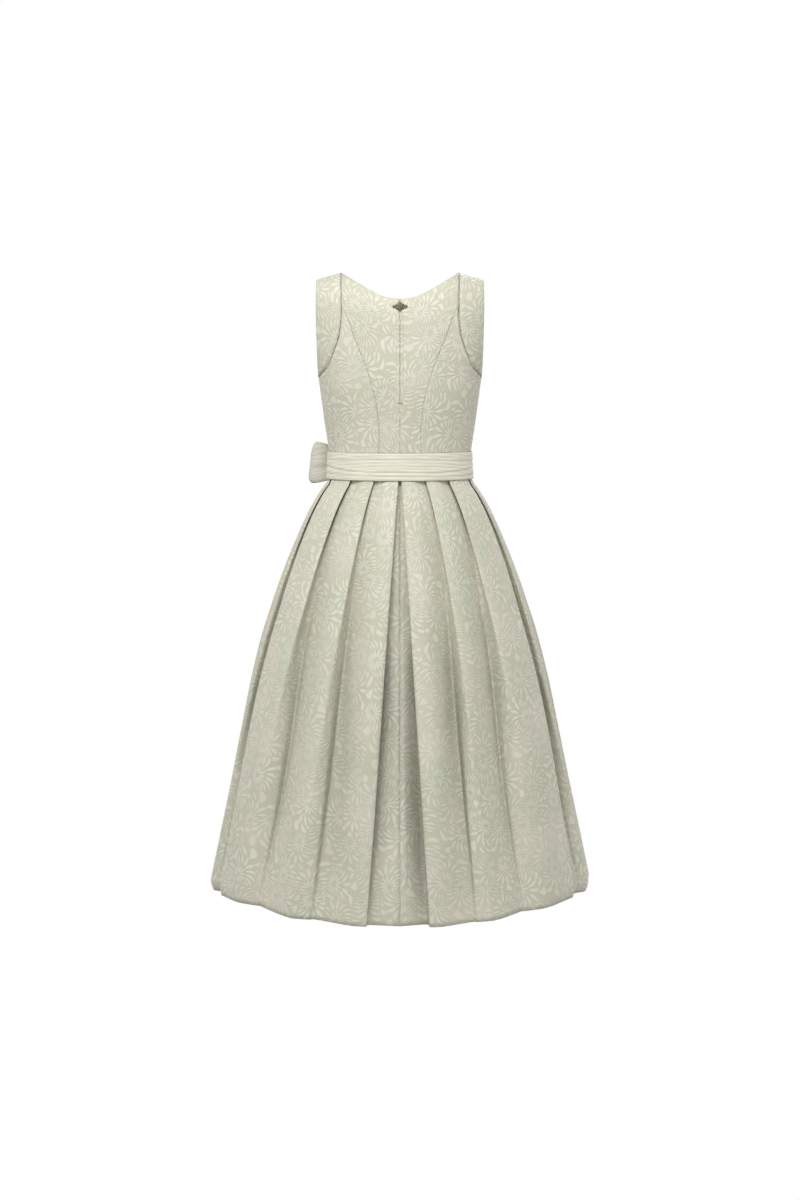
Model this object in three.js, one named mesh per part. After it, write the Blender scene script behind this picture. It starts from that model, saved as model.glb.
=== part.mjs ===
// A sleeveless dirndl dress in the hollow form it has when worn: a seamed bodice, a skirt of deep
// pleats on both sides of an inverted pleat, and an apron whose sash ties in a bow.
// Millimetres, +Z up. The front faces -Y, the back +Y, and +X is the wearer's left.
// The origin lies midway between the tops of the two shoulder straps.

import * as THREE from "three";
import { mergeVertices } from "three/addons/utils/BufferGeometryUtils.js";

// Driving dimensions
const CLOTH = 1.2;
const SEAM_GAP = 0.32;
const SEAM_PULL = 0.35;
const CLEARANCE = 0.8;
const WAIST_Z = -353;
const HEM_Z = -1150;
const SASH_TOP_Z = -328;
const SASH_BOTTOM_Z = -378;
const WAIST_FLATNESS = 32;
const HEM_FLATNESS = 28;
const HEM_RISE = 16.5;
const HEM_RISE_REACH = 124;
const SIDE_CALM = 0.6;

// Bodice dimensions
const STRAP_INNER_X = 108;
const STRAP_OUTER_X = 153.5;
const SHOULDER_DROP = 13;
const SHOULDER_ROUND_Z = -110;
const SHOULDER_ROUNDNESS = 2.6;
const UNDERARM_Z = -190;
const UNDERARM_X = 151;
const BACK_NECK_DIP = 48.5;
const BACK_NECK_ROUND_X = 31;
const BACK_NECK_SLOPE = 0.53;
const SEAM_MEETING_Z = -64;
const FRONT_NECK_CORNER_Z = -150;
const FRONT_NECK_DIP = 14;
const BUST_X = 70;
const BUST_Z = -232;
const BUST_BULGE = 9;
const BUST_SPREAD_X = 44;
const BUST_SPREAD_Z = 58;

// Outer surface of the bodice, from the shoulder down
const TORSO = [
  { z: 0, halfWidth: 178, back: 108, front: 96 },
  { z: -50, halfWidth: 176, back: 108, front: 96 },
  { z: SHOULDER_ROUND_Z, halfWidth: 171, back: 108, front: 98 },
  { z: -150, halfWidth: 163, back: 109, front: 112 },
  { z: UNDERARM_Z, halfWidth: UNDERARM_X, back: 109, front: 124 },
  { z: -232, halfWidth: 145, back: 106, front: 128 },
  { z: -280, halfWidth: 138.5, back: 102, front: 113 },
  { z: SASH_TOP_Z, halfWidth: 131.6, back: 99.5, front: 99.5 },
  { z: WAIST_Z, halfWidth: 129.9, back: 97.9, front: 97.9 },
];

// Back seams: the princess seam, and the seam that runs from the strap to the underarm
const BACK_SEAMS = [
  { z: 0, princess: 107.5, armhole: 107.5 },
  { z: SEAM_MEETING_Z, princess: 106.5, armhole: 106.5 },
  { z: -66, princess: 105, armhole: 106.6 },
  { z: -81, princess: 97, armhole: 107.5 },
  { z: -111, princess: 86, armhole: 111 },
  { z: -150, princess: 70, armhole: 124 },
  { z: -173, princess: 61, armhole: 134 },
  { z: UNDERARM_Z, princess: 55.5, armhole: 147 },
  { z: -244, princess: 41.6, armhole: UNDERARM_X },
  { z: -300, princess: 37, armhole: UNDERARM_X },
  { z: WAIST_Z, princess: 40, armhole: UNDERARM_X },
];

// Front edges: the inner edge is the princess seam below the neck corner and the neckline above it
const FRONT_EDGES = [
  { z: 0, inner: STRAP_INNER_X, armhole: STRAP_OUTER_X },
  { z: -60, inner: 102, armhole: 147 },
  { z: -110, inner: 93, armhole: 139 },
  { z: FRONT_NECK_CORNER_Z, inner: 84, armhole: 142 },
  { z: UNDERARM_Z, inner: 80, armhole: UNDERARM_X },
  { z: BUST_Z, inner: 76, armhole: UNDERARM_X },
  { z: -300, inner: 55, armhole: UNDERARM_X },
  { z: WAIST_Z, inner: 46, armhole: UNDERARM_X },
];

// Skirt: width of the valleys of the pleats, and the height of each ridge over its valley
const SKIRT = [
  { z: WAIST_Z, halfWidth: 128.2, ridge: 3.4 },
  { z: SASH_BOTTOM_Z, halfWidth: 130.4, ridge: 3.4 },
  { z: -405, halfWidth: 146.5, ridge: 4.6 },
  { z: -438, halfWidth: 163.8, ridge: 6.4 },
  { z: -494, halfWidth: 187, ridge: 9 },
  { z: -550, halfWidth: 206.7, ridge: 12 },
  { z: -610, halfWidth: 225, ridge: 15 },
  { z: -680, halfWidth: 246.2, ridge: 17 },
  { z: -760, halfWidth: 267.2, ridge: 17.5 },
  { z: -850, halfWidth: 287.9, ridge: 17 },
  { z: -940, halfWidth: 308.3, ridge: 15.5 },
  { z: -1040, halfWidth: 331.2, ridge: 14 },
  { z: HEM_Z, halfWidth: 355.2, ridge: 13 },
];

// Pleats of one side, from the centre back to the front, as angles round the skirt. The edge of each
// faces the centre back (1) or away from it (-1). It overlaps its underlay from the waist down to
// openZ, and lower down it softens to a wave whose slope is hemSlope wide at the hem.
const PLEATS_LEFT = [
  { waist: 0.6, hem: 9.4, faces: 1, overlap: 14, openZ: -1000, hemSlope: 6 },
  { waist: 20, hem: 31, faces: 1, overlap: 14, openZ: -470, hemSlope: 34 },
  { waist: 42, hem: 53, faces: 1, overlap: 14, openZ: -580, hemSlope: 40 },
  { waist: 70, hem: 66, faces: -1, overlap: 9, openZ: -620, hemSlope: 20 },
  { waist: 74, hem: 77, faces: 1, overlap: 5, openZ: -560, hemSlope: 20 },
  { waist: 98, hem: 97, faces: 1, overlap: 4.5, openZ: -540, hemSlope: 38 },
  { waist: 125, hem: 124, faces: 1, overlap: 8, openZ: -540, hemSlope: 38 },
  { waist: 152, hem: 152, faces: 1, overlap: 8, openZ: -570, hemSlope: 38 },
];
const PLEATS_RIGHT = [
  { waist: 0.6, hem: 8.2, faces: 1, overlap: 14, openZ: -1000, hemSlope: 6 },
  { waist: 20.5, hem: 26.5, faces: 1, overlap: 14, openZ: -500, hemSlope: 34 },
  { waist: 42.4, hem: 44.5, faces: 1, overlap: 14, openZ: -560, hemSlope: 38 },
  { waist: 70, hem: 62, faces: -1, overlap: 9, openZ: -600, hemSlope: 20 },
  { waist: 74, hem: 73, faces: 1, overlap: 5, openZ: -580, hemSlope: 20 },
  { waist: 98, hem: 95, faces: 1, overlap: 4.5, openZ: -560, hemSlope: 38 },
  { waist: 125, hem: 124, faces: 1, overlap: 8, openZ: -540, hemSlope: 38 },
  { waist: 152, hem: 152, faces: 1, overlap: 8, openZ: -580, hemSlope: 38 },
];
const PLEAT_DRIFT_POWER = 0.6;
const SIDE_SEAM_PLEAT = 4;

// Sash, apron and bow dimensions
const SASH = [
  { z: SASH_TOP_Z, halfWidth: 133.6, fold: 0 },
  { z: -336, halfWidth: 134.0, fold: 0.5 },
  { z: -344, halfWidth: 134.3, fold: 0.1 },
  { z: -351, halfWidth: 134.7, fold: 0.7 },
  { z: -359, halfWidth: 135.2, fold: 0.1 },
  { z: -368, halfWidth: 135.9, fold: 0.5 },
  { z: SASH_BOTTOM_Z, halfWidth: 136.7, fold: 0 },
];
const SASH_COLUMNS_PER_HALF = 22;
const SASH_FRONT_SWELL = 3;
const APRON_HEM_Z = -1105;
const APRON_HALF_ANGLE = 62;
const APRON_GATHERS = 15;
const APRON_WAVE = [
  { z: SASH_BOTTOM_Z, wave: 0.7 },
  { z: -420, wave: 2.2 },
  { z: -600, wave: 4.5 },
  { z: APRON_HEM_Z, wave: 7 },
];
const BOW_ANGLE = 150;
const BOW_Z = -352;
const LOOP_LENGTH = 100;
const LOOP_THICKNESS = 17;
const LOOP_LIFT = 6;
const LOOP_KNOT_HALF = 15;
const LOOP_TIP_HALF = 38.4;
const LOOP_TIP_SLANT = 5;
const KNOT = { width: 27, height: 44, depth: 15 };
const TAIL_WIDTH = 52;
const TAIL_WAVE = 2;
const TAIL_KNOT_LIFT = 6;

const COLOURS = {
  jacquard: 0xd0cebb,
  sash: 0xdbd7c6,
  metal: 0x5a5448,
};

const radians = THREE.MathUtils.degToRad;
const lerp = THREE.MathUtils.lerp;
const clamp = THREE.MathUtils.clamp;
const smoothstep = THREE.MathUtils.smoothstep;

// A column of a table as a smooth function of height, with no overshoot between its rows.
function smoothColumn(rows, column) {
  const heights = rows.map((row) => row.z);
  const values = rows.map((row) => row[column]);
  const chords = heights.slice(1).map((z, i) => (values[i + 1] - values[i]) / (z - heights[i]));
  const slopes = values.map((value, i) => {
    const before = chords[Math.max(i - 1, 0)];
    const after = chords[Math.min(i, chords.length - 1)];
    return before * after > 0 ? (2 * before * after) / (before + after) : 0;
  });
  return (z) => {
    const at = clamp(z, heights[heights.length - 1], heights[0]);
    let i = 0;
    while (i < chords.length - 1 && at < heights[i + 1]) i += 1;
    const span = heights[i + 1] - heights[i];
    const s = (at - heights[i]) / span;
    const rise = values[i + 1] - values[i];
    const bend = s * (1 - s) * span;
    const turn = slopes[i] * (1 - s) - slopes[i + 1] * s + (chords[i] * (2 * s - 1));
    return values[i] + rise * s + bend * turn;
  };
}

// Evenly spaced numbers from first to last, both included.
function steps(first, last, count) {
  return Array.from({ length: count + 1 }, (_, i) => lerp(first, last, i / count));
}

// A closed wall from two grids of points, outer[row][column] and inner[row][column].
function wall(outer, inner) {
  const rows = outer.length;
  const columns = outer[0].length;
  const positions = [...outer.flat(), ...inner.flat()].flatMap((p) => [p.x, p.y, p.z]);
  const out = (row, column) => row * columns + column;
  const back = (row, column) => rows * columns + row * columns + column;
  const index = [];
  const quad = (a, b, c, d) => index.push(a, b, c, a, c, d);
  for (let r = 0; r < rows - 1; r += 1) {
    for (let c = 0; c < columns - 1; c += 1) {
      quad(out(r, c), out(r, c + 1), out(r + 1, c + 1), out(r + 1, c));
      quad(back(r, c), back(r + 1, c), back(r + 1, c + 1), back(r, c + 1));
    }
    quad(out(r, 0), out(r + 1, 0), back(r + 1, 0), back(r, 0));
    const end = columns - 1;
    quad(out(r, end), back(r, end), back(r + 1, end), out(r + 1, end));
  }
  for (let c = 0; c < columns - 1; c += 1) {
    quad(out(0, c), back(0, c), back(0, c + 1), out(0, c + 1));
    const top = rows - 1;
    quad(out(top, c), out(top, c + 1), back(top, c + 1), back(top, c));
  }
  return facingOut(positions, index);
}

// An indexed geometry whose faces point out, turned over if its volume comes out negative.
function facingOut(positions, index) {
  const corner = (i) => new THREE.Vector3().fromArray(positions, 3 * i);
  let volume = 0;
  for (let i = 0; i < index.length; i += 3) {
    volume += corner(index[i]).dot(corner(index[i + 1]).cross(corner(index[i + 2])));
  }
  const geometry = new THREE.BufferGeometry();
  geometry.setAttribute("position", new THREE.Float32BufferAttribute(positions, 3));
  geometry.setIndex(volume < 0 ? index.slice().reverse() : index);
  geometry.computeVertexNormals();
  return geometry;
}

// A ready-made geometry with its doubled corners joined into one.
function joined(geometry) {
  geometry.deleteAttribute("normal");
  geometry.deleteAttribute("uv");
  return mergeVertices(geometry);
}

const torsoWidth = smoothColumn(TORSO, "halfWidth");
const torsoDepth = { back: smoothColumn(TORSO, "back"), front: smoothColumn(TORSO, "front") };
const backPrincess = smoothColumn(BACK_SEAMS, "princess");
const backArmholeSeam = smoothColumn(BACK_SEAMS, "armhole");
const frontInner = smoothColumn(FRONT_EDGES, "inner");
const frontArmhole = smoothColumn(FRONT_EDGES, "armhole");

// The bodice's section grows squarer from the waist up to the underarm.
function torsoSquareness(z) {
  return lerp(2, 2.4, smoothstep(z, SASH_TOP_Z, UNDERARM_Z));
}

// Level is height, but evened out round the shoulder so that rows follow its curve.
function levelAt(z) {
  if (z <= SHOULDER_ROUND_Z) return z;
  const rise = Math.pow(clamp((z - SHOULDER_ROUND_Z) / -SHOULDER_ROUND_Z, 0, 1), SHOULDER_ROUNDNESS / 2);
  return SHOULDER_ROUND_Z - SHOULDER_ROUND_Z * Math.asin(rise) / (Math.PI / 2);
}

function shoulderTurn(level) {
  return clamp((level - SHOULDER_ROUND_Z) / -SHOULDER_ROUND_Z, 0, 1) * Math.PI / 2;
}

function heightAt(level) {
  if (level <= SHOULDER_ROUND_Z) return level;
  const rise = Math.pow(Math.sin(shoulderTurn(level)), 2 / SHOULDER_ROUNDNESS);
  return SHOULDER_ROUND_Z - SHOULDER_ROUND_Z * rise;
}

function angleAt(x, z) {
  return Math.asin(Math.pow(clamp(x / torsoWidth(z), 0, 1), torsoSquareness(z) / 2));
}

// A point of the bodice's outer surface on the wearer's left, by angle from the centre line.
function torsoPoint(angle, level, face) {
  const z = heightAt(level);
  const power = 2 / torsoSquareness(z);
  const x = torsoWidth(z) * Math.pow(Math.max(Math.sin(angle), 0), power);
  const overShoulder = Math.pow(Math.max(Math.cos(shoulderTurn(level)), 0), 2 / SHOULDER_ROUNDNESS);
  let y = torsoDepth[face](z) * overShoulder * Math.pow(Math.max(Math.cos(angle), 0), power);
  if (face === "front") {
    const across = (x - BUST_X) / BUST_SPREAD_X;
    const along = (z - BUST_Z) / BUST_SPREAD_Z;
    y += BUST_BULGE * Math.exp(-across * across - along * along) * Math.cos(angle);
  }
  const beyondNeck = clamp((x - STRAP_INNER_X) / (STRAP_OUTER_X - STRAP_INNER_X), 0, 2);
  const slope = SHOULDER_DROP * beyondNeck * smoothstep(z, 2 * SHOULDER_ROUND_Z / 3, 0);
  return new THREE.Vector3(x, y, z - slope);
}

function torsoNormal(angle, level, face) {
  const nudge = 0.002;
  const quarter = Math.PI / 2;
  const low = torsoPoint(Math.max(angle - nudge, 0), level, face);
  const high = torsoPoint(Math.min(angle + nudge, quarter), level, face);
  const below = torsoPoint(angle, level - 1, face);
  const above = torsoPoint(angle, Math.min(level + 1, 0), face);
  return above.sub(below).cross(high.sub(low)).normalize();
}

// One pair of outer and inner points, mirrored to its side and kept off the seam lines.
function torsoPair(angle, level, face, side) {
  const outer = torsoPoint(angle, level, face);
  const inner = outer.clone().addScaledVector(torsoNormal(angle, level, face), -CLOTH);
  for (const point of [outer, inner]) {
    point.y = Math.max(point.y, SEAM_GAP / 2);
    if (face === "front") point.y *= -1;
    point.x *= side;
  }
  return [outer, inner];
}

// Rows of the bodice as levels. Panels that share a seam share its rows, so the seam stays even.
const WAIST_EDGE_Z = WAIST_Z + SEAM_GAP / 2;
const MEETING_LEVEL = levelAt(SEAM_MEETING_Z);
const BACK_LEVELS = [
  ...steps(WAIST_EDGE_Z, UNDERARM_Z, 6),
  UNDERARM_Z + 6,
  ...steps(UNDERARM_Z + 20, SHOULDER_ROUND_Z, 3),
  levelAt(SHOULDER_ROUND_Z + 22),
  levelAt(SEAM_MEETING_Z - 2),
  MEETING_LEVEL,
  ...steps(MEETING_LEVEL + 10, 0, 6),
];
const FRONT_LEVELS = [
  ...steps(WAIST_EDGE_Z, UNDERARM_Z, 8),
  UNDERARM_Z + 14,
  ...steps(FRONT_NECK_CORNER_Z, SHOULDER_ROUND_Z, 2),
  ...steps(SHOULDER_ROUND_Z + 14, 0, 7),
];

function levelsBetween(levels, lowest, highest) {
  return levels.filter((level) => level >= lowest - 1e-6 && level <= highest + 1e-6);
}

// A bodice panel on one side, between two edges given as x at a height. Its rows are spread
// up to its top edge where it has one that is not level.
function bodicePanel({ face, side, levels, columns, inner, outer, top }) {
  const grids = [[], []];
  const [lowest, highest] = [levels[0], levels[levels.length - 1]];
  for (const row of levels) {
    const rows = [[], []];
    for (const u of steps(0, 1, columns)) {
      const share = (row - lowest) / (highest - lowest);
      const level = top ? row + (levelAt(top(u)) - highest) * share ** 3 : row;
      const z = heightAt(level);
      const from = inner(z) > 0 ? angleAt(inner(z) + SEAM_PULL, z) : angleAt(SEAM_GAP / 2, z);
      const to = angleAt(outer(z) - SEAM_PULL, z);
      torsoPair(lerp(from, to, u), level, face, side).forEach((point, i) => rows[i].push(point));
    }
    rows.forEach((points, i) => grids[i].push(points));
  }
  return wall(grids[0], grids[1]);
}

function backNeckline(x) {
  const flat = (BACK_NECK_SLOPE / (2 * BACK_NECK_ROUND_X)) * Math.min(x, BACK_NECK_ROUND_X) ** 2;
  const rise = flat + BACK_NECK_SLOPE * Math.max(x - BACK_NECK_ROUND_X, 0);
  return Math.min(rise - BACK_NECK_DIP, 0);
}

function backCentre(side) {
  return bodicePanel({
    face: "back",
    side,
    levels: BACK_LEVELS,
    columns: 6,
    inner: () => 0,
    outer: (z) => (z < SEAM_MEETING_Z - 1e-6 ? backPrincess(z) : backArmholeSeam(z)),
    top: (u) => backNeckline(u * STRAP_INNER_X),
  });
}

function backSide(side) {
  return bodicePanel({
    face: "back",
    side,
    levels: levelsBetween(BACK_LEVELS, WAIST_EDGE_Z, levelAt(SEAM_MEETING_Z - 2)),
    columns: 5,
    inner: backPrincess,
    outer: (z) => (z <= UNDERARM_Z ? torsoWidth(z) + SEAM_PULL : backArmholeSeam(z)),
  });
}

function backArmhole(side) {
  return bodicePanel({
    face: "back",
    side,
    levels: levelsBetween(BACK_LEVELS, UNDERARM_Z + 6, 0),
    columns: 3,
    inner: backArmholeSeam,
    outer: (z) => lerp(UNDERARM_X, STRAP_OUTER_X, clamp((z - UNDERARM_Z) / 120, 0, 1)),
  });
}

function frontSide(side) {
  return bodicePanel({
    face: "front",
    side,
    levels: FRONT_LEVELS,
    columns: 6,
    inner: frontInner,
    outer: (z) => (z <= UNDERARM_Z ? torsoWidth(z) + SEAM_PULL : frontArmhole(z)),
  });
}

// The front's middle panel is one piece, so its grid runs across both sides.
function frontCentre() {
  const grids = [[], []];
  const acrossHalf = 6;
  const levels = levelsBetween(FRONT_LEVELS, WAIST_EDGE_Z, FRONT_NECK_CORNER_Z);
  for (const row of levels) {
    const rows = [[], []];
    for (const u of steps(-1, 1, 2 * acrossHalf)) {
      const dip = FRONT_NECK_DIP * Math.cos((u * Math.PI) / 2);
      const level = row - (dip * (row - WAIST_EDGE_Z)) / (FRONT_NECK_CORNER_Z - WAIST_EDGE_Z);
      const edge = angleAt(frontInner(level) - SEAM_PULL, level);
      const pair = torsoPair(Math.abs(u) * edge, level, "front", u < 0 ? -1 : 1);
      pair.forEach((point, i) => rows[i].push(point));
    }
    rows.forEach((points, i) => grids[i].push(points));
  }
  return wall(grids[0], grids[1]);
}

const skirtWidth = smoothColumn(SKIRT, "halfWidth");
const fullRidge = smoothColumn(SKIRT, "ridge");

// How far down the skirt a height is, from 0 at the waist to 1 at the hem.
function downSkirt(z) {
  return clamp((WAIST_Z - z) / (WAIST_Z - HEM_Z), 0, 1);
}

function skirtDepth(z) {
  return skirtWidth(z) - lerp(WAIST_FLATNESS, HEM_FLATNESS, downSkirt(z));
}

// How high the folds stand. They flatten out at the sides of the hem.
function skirtRidge(angle, z) {
  return fullRidge(z) * (1 - SIDE_CALM * downSkirt(z) ** 2 * Math.sin(angle) ** 4);
}

// The hem lifts a little between the centre back and each side.
function hemRise(angle) {
  const share = Math.min(Math.abs(angle) / radians(HEM_RISE_REACH), 1);
  return HEM_RISE * Math.sin(share * Math.PI) ** 3;
}

// A point set out from the ellipse of the skirt's valleys. Angle 0 is the centre back.
function roundSkirt(angle, out, z) {
  const [width, depth] = [skirtWidth(z), skirtDepth(z)];
  const normal = new THREE.Vector3(Math.sin(angle) / width, Math.cos(angle) / depth, 0).normalize();
  const height = z + hemRise(angle) * Math.pow(downSkirt(z), 3);
  return new THREE.Vector3(width * Math.sin(angle), depth * Math.cos(angle), height).addScaledVector(normal, out);
}

// Millimetres of cloth for each radian at an angle of the skirt.
function clothPerRadian(angle, z) {
  return Math.hypot(skirtWidth(z) * Math.cos(angle), skirtDepth(z) * Math.sin(angle));
}

// How wide the slope of a fold is. It is negative where the fold overlaps its underlay.
function slopeAt(pleat, z) {
  if (z > pleat.openZ) {
    return -pleat.overlap * Math.pow((z - pleat.openZ) / (WAIST_Z - pleat.openZ), 1.3);
  }
  return (pleat.hemSlope * (pleat.openZ - z)) / (pleat.openZ - HEM_Z);
}

// The six points of a fold from its valley up to its ridge, as [along, out] from the ridge's edge.
// Two arcs of one radius and the straight between them rise by the ridge and go on by the slope.
function foldPoints(slope, ridge) {
  const softened = 0.6 * Math.max(slope, 0);
  const radius = (ridge * ridge + softened * softened) / (4 * ridge);
  const straight = Math.sqrt(Math.max((ridge - 2 * radius) ** 2 + slope ** 2 - 4 * radius ** 2, 0));
  const lean = Math.atan2(ridge - 2 * radius, slope) + Math.atan2(2 * radius, straight);
  const ridgeStart = radius * Math.sin(Math.min(lean, Math.PI / 2));
  const lower = [0, lean / 2, lean].map((turn) => [
    ridgeStart - slope + radius * Math.sin(turn),
    radius - radius * Math.cos(turn),
  ]);
  const upper = [lean, lean / 2, 0].map((turn) => [
    ridgeStart - radius * Math.sin(turn),
    ridge - radius + radius * Math.cos(turn),
  ]);
  return [...lower, ...upper];
}

// A fold at a height, turned round if its edge faces away from the centre back.
function placedFold(pleat, z) {
  const drift = Math.pow(downSkirt(z), PLEAT_DRIFT_POWER);
  const angle = radians(lerp(pleat.waist, pleat.hem, drift));
  const ridge = skirtRidge(angle, z);
  const points = foldPoints(slopeAt(pleat, z), ridge);
  const reach = Math.max(...points.map(([along]) => along));
  if (pleat.faces > 0) return { angle, points, before: 0, after: reach };
  const turned = points.map(([along, out]) => [-along, out]).reverse();
  return { angle, points: turned, before: reach, after: 0 };
}

// Two points of the panel between one fold and the next, clear of both folds' underlays.
function panelPoints(fold, next, length) {
  const [start, startOut] = fold.points[fold.points.length - 1];
  const [end, endOut] = next.points[0];
  const first = Math.max(start, fold.after);
  const last = Math.min(length + end, length - next.before);
  const room = last - first;
  const early = first + Math.min(2.5, 0.3 * room) + 0.2 * Math.max(room - 8, 0);
  const late = last - Math.min(4, 0.4 * room) - 0.16 * Math.max(room - 8, 0);
  return [
    [early, lerp(startOut, endOut, 0.08)],
    [late, lerp(startOut, endOut, 0.9)],
  ];
}

// Half of the skirt's section at a height, from the centre back to the centre front.
function halfSection(pleats, z) {
  const folds = pleats.map((pleat) => placedFold(pleat, z));
  const centreFront = { angle: Math.PI, points: [[0, fullRidge(z)]], before: 0, after: 0 };
  const points = [{ angle: 0, out: 0 }];
  folds.forEach((fold, k) => {
    const next = folds[k + 1] ?? centreFront;
    const metric = clothPerRadian(fold.angle, z);
    const panel = panelPoints(fold, next, (next.angle - fold.angle) * metric);
    for (const [along, out] of [...fold.points, ...panel]) {
      points.push({ angle: fold.angle + along / metric, out });
    }
  });
  points.push({ angle: Math.PI, out: fullRidge(z) });
  return points;
}

// The skirt's whole section at a height, from the centre back round by the wearer's left.
function skirtSection(z) {
  const left = halfSection(PLEATS_LEFT, z);
  const right = halfSection(PLEATS_RIGHT, z).map(({ angle, out }) => ({ angle: -angle, out }));
  return [...left, ...right.slice(1, -1).reverse()].map(({ angle, out }) => roundSkirt(angle, out, z));
}

// Where each skirt panel starts and ends along that section. Its side seams lie in a pleat.
const FOLD_STEPS = 8;
const SIDE_SEAM_AT = 1 + FOLD_STEPS * SIDE_SEAM_PLEAT;
const SECTION_LENGTH = 2 * (FOLD_STEPS * PLEATS_LEFT.length + 1);
const SKIRT_PANELS = {
  back_left: { from: 0, to: SIDE_SEAM_AT },
  front: { from: SIDE_SEAM_AT, to: SECTION_LENGTH - SIDE_SEAM_AT },
  back_right: { from: SECTION_LENGTH - SIDE_SEAM_AT, to: SECTION_LENGTH },
};

// Sets a run of points off to both sides by half the cloth. In a ring the last meets the first.
function thicken(run, ring = false) {
  const count = run.length;
  const at = (i) => run[ring ? (i + count) % count : clamp(i, 0, count - 1)];
  return run.map((point, i) => {
    const arrive = point.clone().sub(at(i - 1)).normalize();
    const leave = at(i + 1).clone().sub(point).normalize();
    const along = arrive.add(leave).normalize();
    const normal = new THREE.Vector3(-along.y, along.x, 0);
    const sides = [CLOTH / 2, -CLOTH / 2].map((off) => point.clone().addScaledVector(normal, off));
    return { along, sides };
  });
}

// A wall from rows of thickened runs.
function thickenedWall(rows) {
  const side = (i) => rows.map((row) => row.map(({ sides }) => sides[i]));
  return wall(side(0), side(1));
}

const SKIRT_ROWS = [WAIST_Z - SEAM_GAP, ...SKIRT.slice(1).map((row) => row.z)];

function skirtPanel({ from, to }) {
  const rows = SKIRT_ROWS.map((z) => {
    const section = thicken(skirtSection(z), true);
    const run = Array.from({ length: to - from + 1 }, (_, i) => section[(from + i) % section.length]);
    const shifted = (place, by) => ({ sides: place.sides.map((p) => p.clone().addScaledVector(place.along, by)) });
    run[0] = shifted(run[0], 0.6 * SEAM_GAP);
    run[run.length - 1] = shifted(run[run.length - 1], -0.6 * SEAM_GAP);
    return run;
  });
  return thickenedWall(rows);
}

const sashWidth = smoothColumn(SASH, "halfWidth");
const sashFold = smoothColumn(SASH, "fold");

// The sash's half ring, swelling a little in front where the apron is gathered into it.
function sashHalf(front) {
  const grids = [[], []];
  const gap = SEAM_GAP / 2 / (sashWidth(SASH_TOP_Z) - WAIST_FLATNESS);
  for (const { z } of SASH) {
    const rows = [[], []];
    for (const turn of steps(-Math.PI / 2 + gap, Math.PI / 2 - gap, SASH_COLUMNS_PER_HALF)) {
      const swell = front ? SASH_FRONT_SWELL * smoothstep(Math.cos(turn), 0, 0.5) : 0;
      const width = sashWidth(z) + swell;
      const depth = (width - WAIST_FLATNESS) * (front ? -1 : 1);
      const normal = new THREE.Vector3(Math.sin(turn) / width, Math.cos(turn) / depth, 0).normalize();
      const point = new THREE.Vector3(width * Math.sin(turn), depth * Math.cos(turn), z);
      rows[0].push(point.clone().addScaledVector(normal, sashFold(z)));
      rows[1].push(point.addScaledVector(normal, -CLOTH));
    }
    rows.forEach((row, i) => grids[i].push(row));
  }
  return wall(grids[0], grids[1]);
}

const apronWave = smoothColumn(APRON_WAVE, "wave");

// How far the middle of the apron's cloth lies out from the skirt's valleys.
function apronOut(angle, z) {
  const clearance = lerp(CLEARANCE, 2 * CLEARANCE, downSkirt(z));
  return skirtRidge(angle, z) + CLOTH + clearance + apronWave(z);
}

function apron() {
  const rows = [SASH_BOTTOM_Z - SEAM_GAP, ...SKIRT_ROWS.slice(2).filter((z) => z > APRON_HEM_Z), APRON_HEM_Z];
  return thickenedWall(rows.map((z) => {
    const run = steps(-1, 1, 4 * APRON_GATHERS).map((u) => {
      const angle = radians(180 + u * APRON_HALF_ANGLE);
      const gather = Math.cos(u * APRON_GATHERS * Math.PI);
      return roundSkirt(angle, apronOut(angle, z) + gather * apronWave(z), z);
    });
    return thicken(run);
  }));
}

// The place where the bow sits on the sash, with the directions along the sash and away from it.
function bowPlace() {
  const angle = radians(BOW_ANGLE);
  const width = sashWidth(BOW_Z) + SASH_FRONT_SWELL;
  const depth = width - WAIST_FLATNESS;
  const surface = new THREE.Vector3(width * Math.sin(angle), depth * Math.cos(angle), BOW_Z);
  const away = new THREE.Vector3(Math.sin(angle) / width, Math.cos(angle) / depth, 0).normalize();
  const along = new THREE.Vector3(-away.y, away.x, 0);
  const centre = surface.clone().addScaledVector(away, KNOT.depth / 2 + CLEARANCE + 0.2);
  return { centre, away, along };
}

// One loop of the bow: a ribbon that leaves the knot, turns at its tip and comes back.
// Forward is its direction in plan, and it opens from the knot to a wide tip.
function bowLoop(direction) {
  const { centre, away, along } = bowPlace();
  const forward = along.clone().multiplyScalar(direction.along).addScaledVector(away, direction.away).normalize();
  const across = new THREE.Vector3(-forward.y, forward.x, 0);
  const start = KNOT.width / 2 + SEAM_GAP;
  return thickenedWall(steps(-1, 1, 6).map((v) => {
    const run = steps(0, 1, 16).map((turn) => {
      const reach = Math.sin(Math.PI * turn);
      const half = lerp(LOOP_KNOT_HALF, LOOP_TIP_HALF, Math.pow(reach, 0.8));
      const gather = 1.2 * Math.cos(3 * Math.PI * v) * (1 - reach);
      const side = LOOP_THICKNESS * Math.sin(2 * Math.PI * turn) + 3.4 * Math.cos(Math.PI * turn) + gather;
      const length = start + (LOOP_LENGTH - start - LOOP_TIP_SLANT * v) * reach;
      const point = centre.clone().addScaledVector(forward, length).addScaledVector(across, side);
      return point.addScaledVector(away, LOOP_LIFT * reach).setZ(BOW_Z + half * v);
    });
    return thicken(run);
  }));
}

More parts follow.
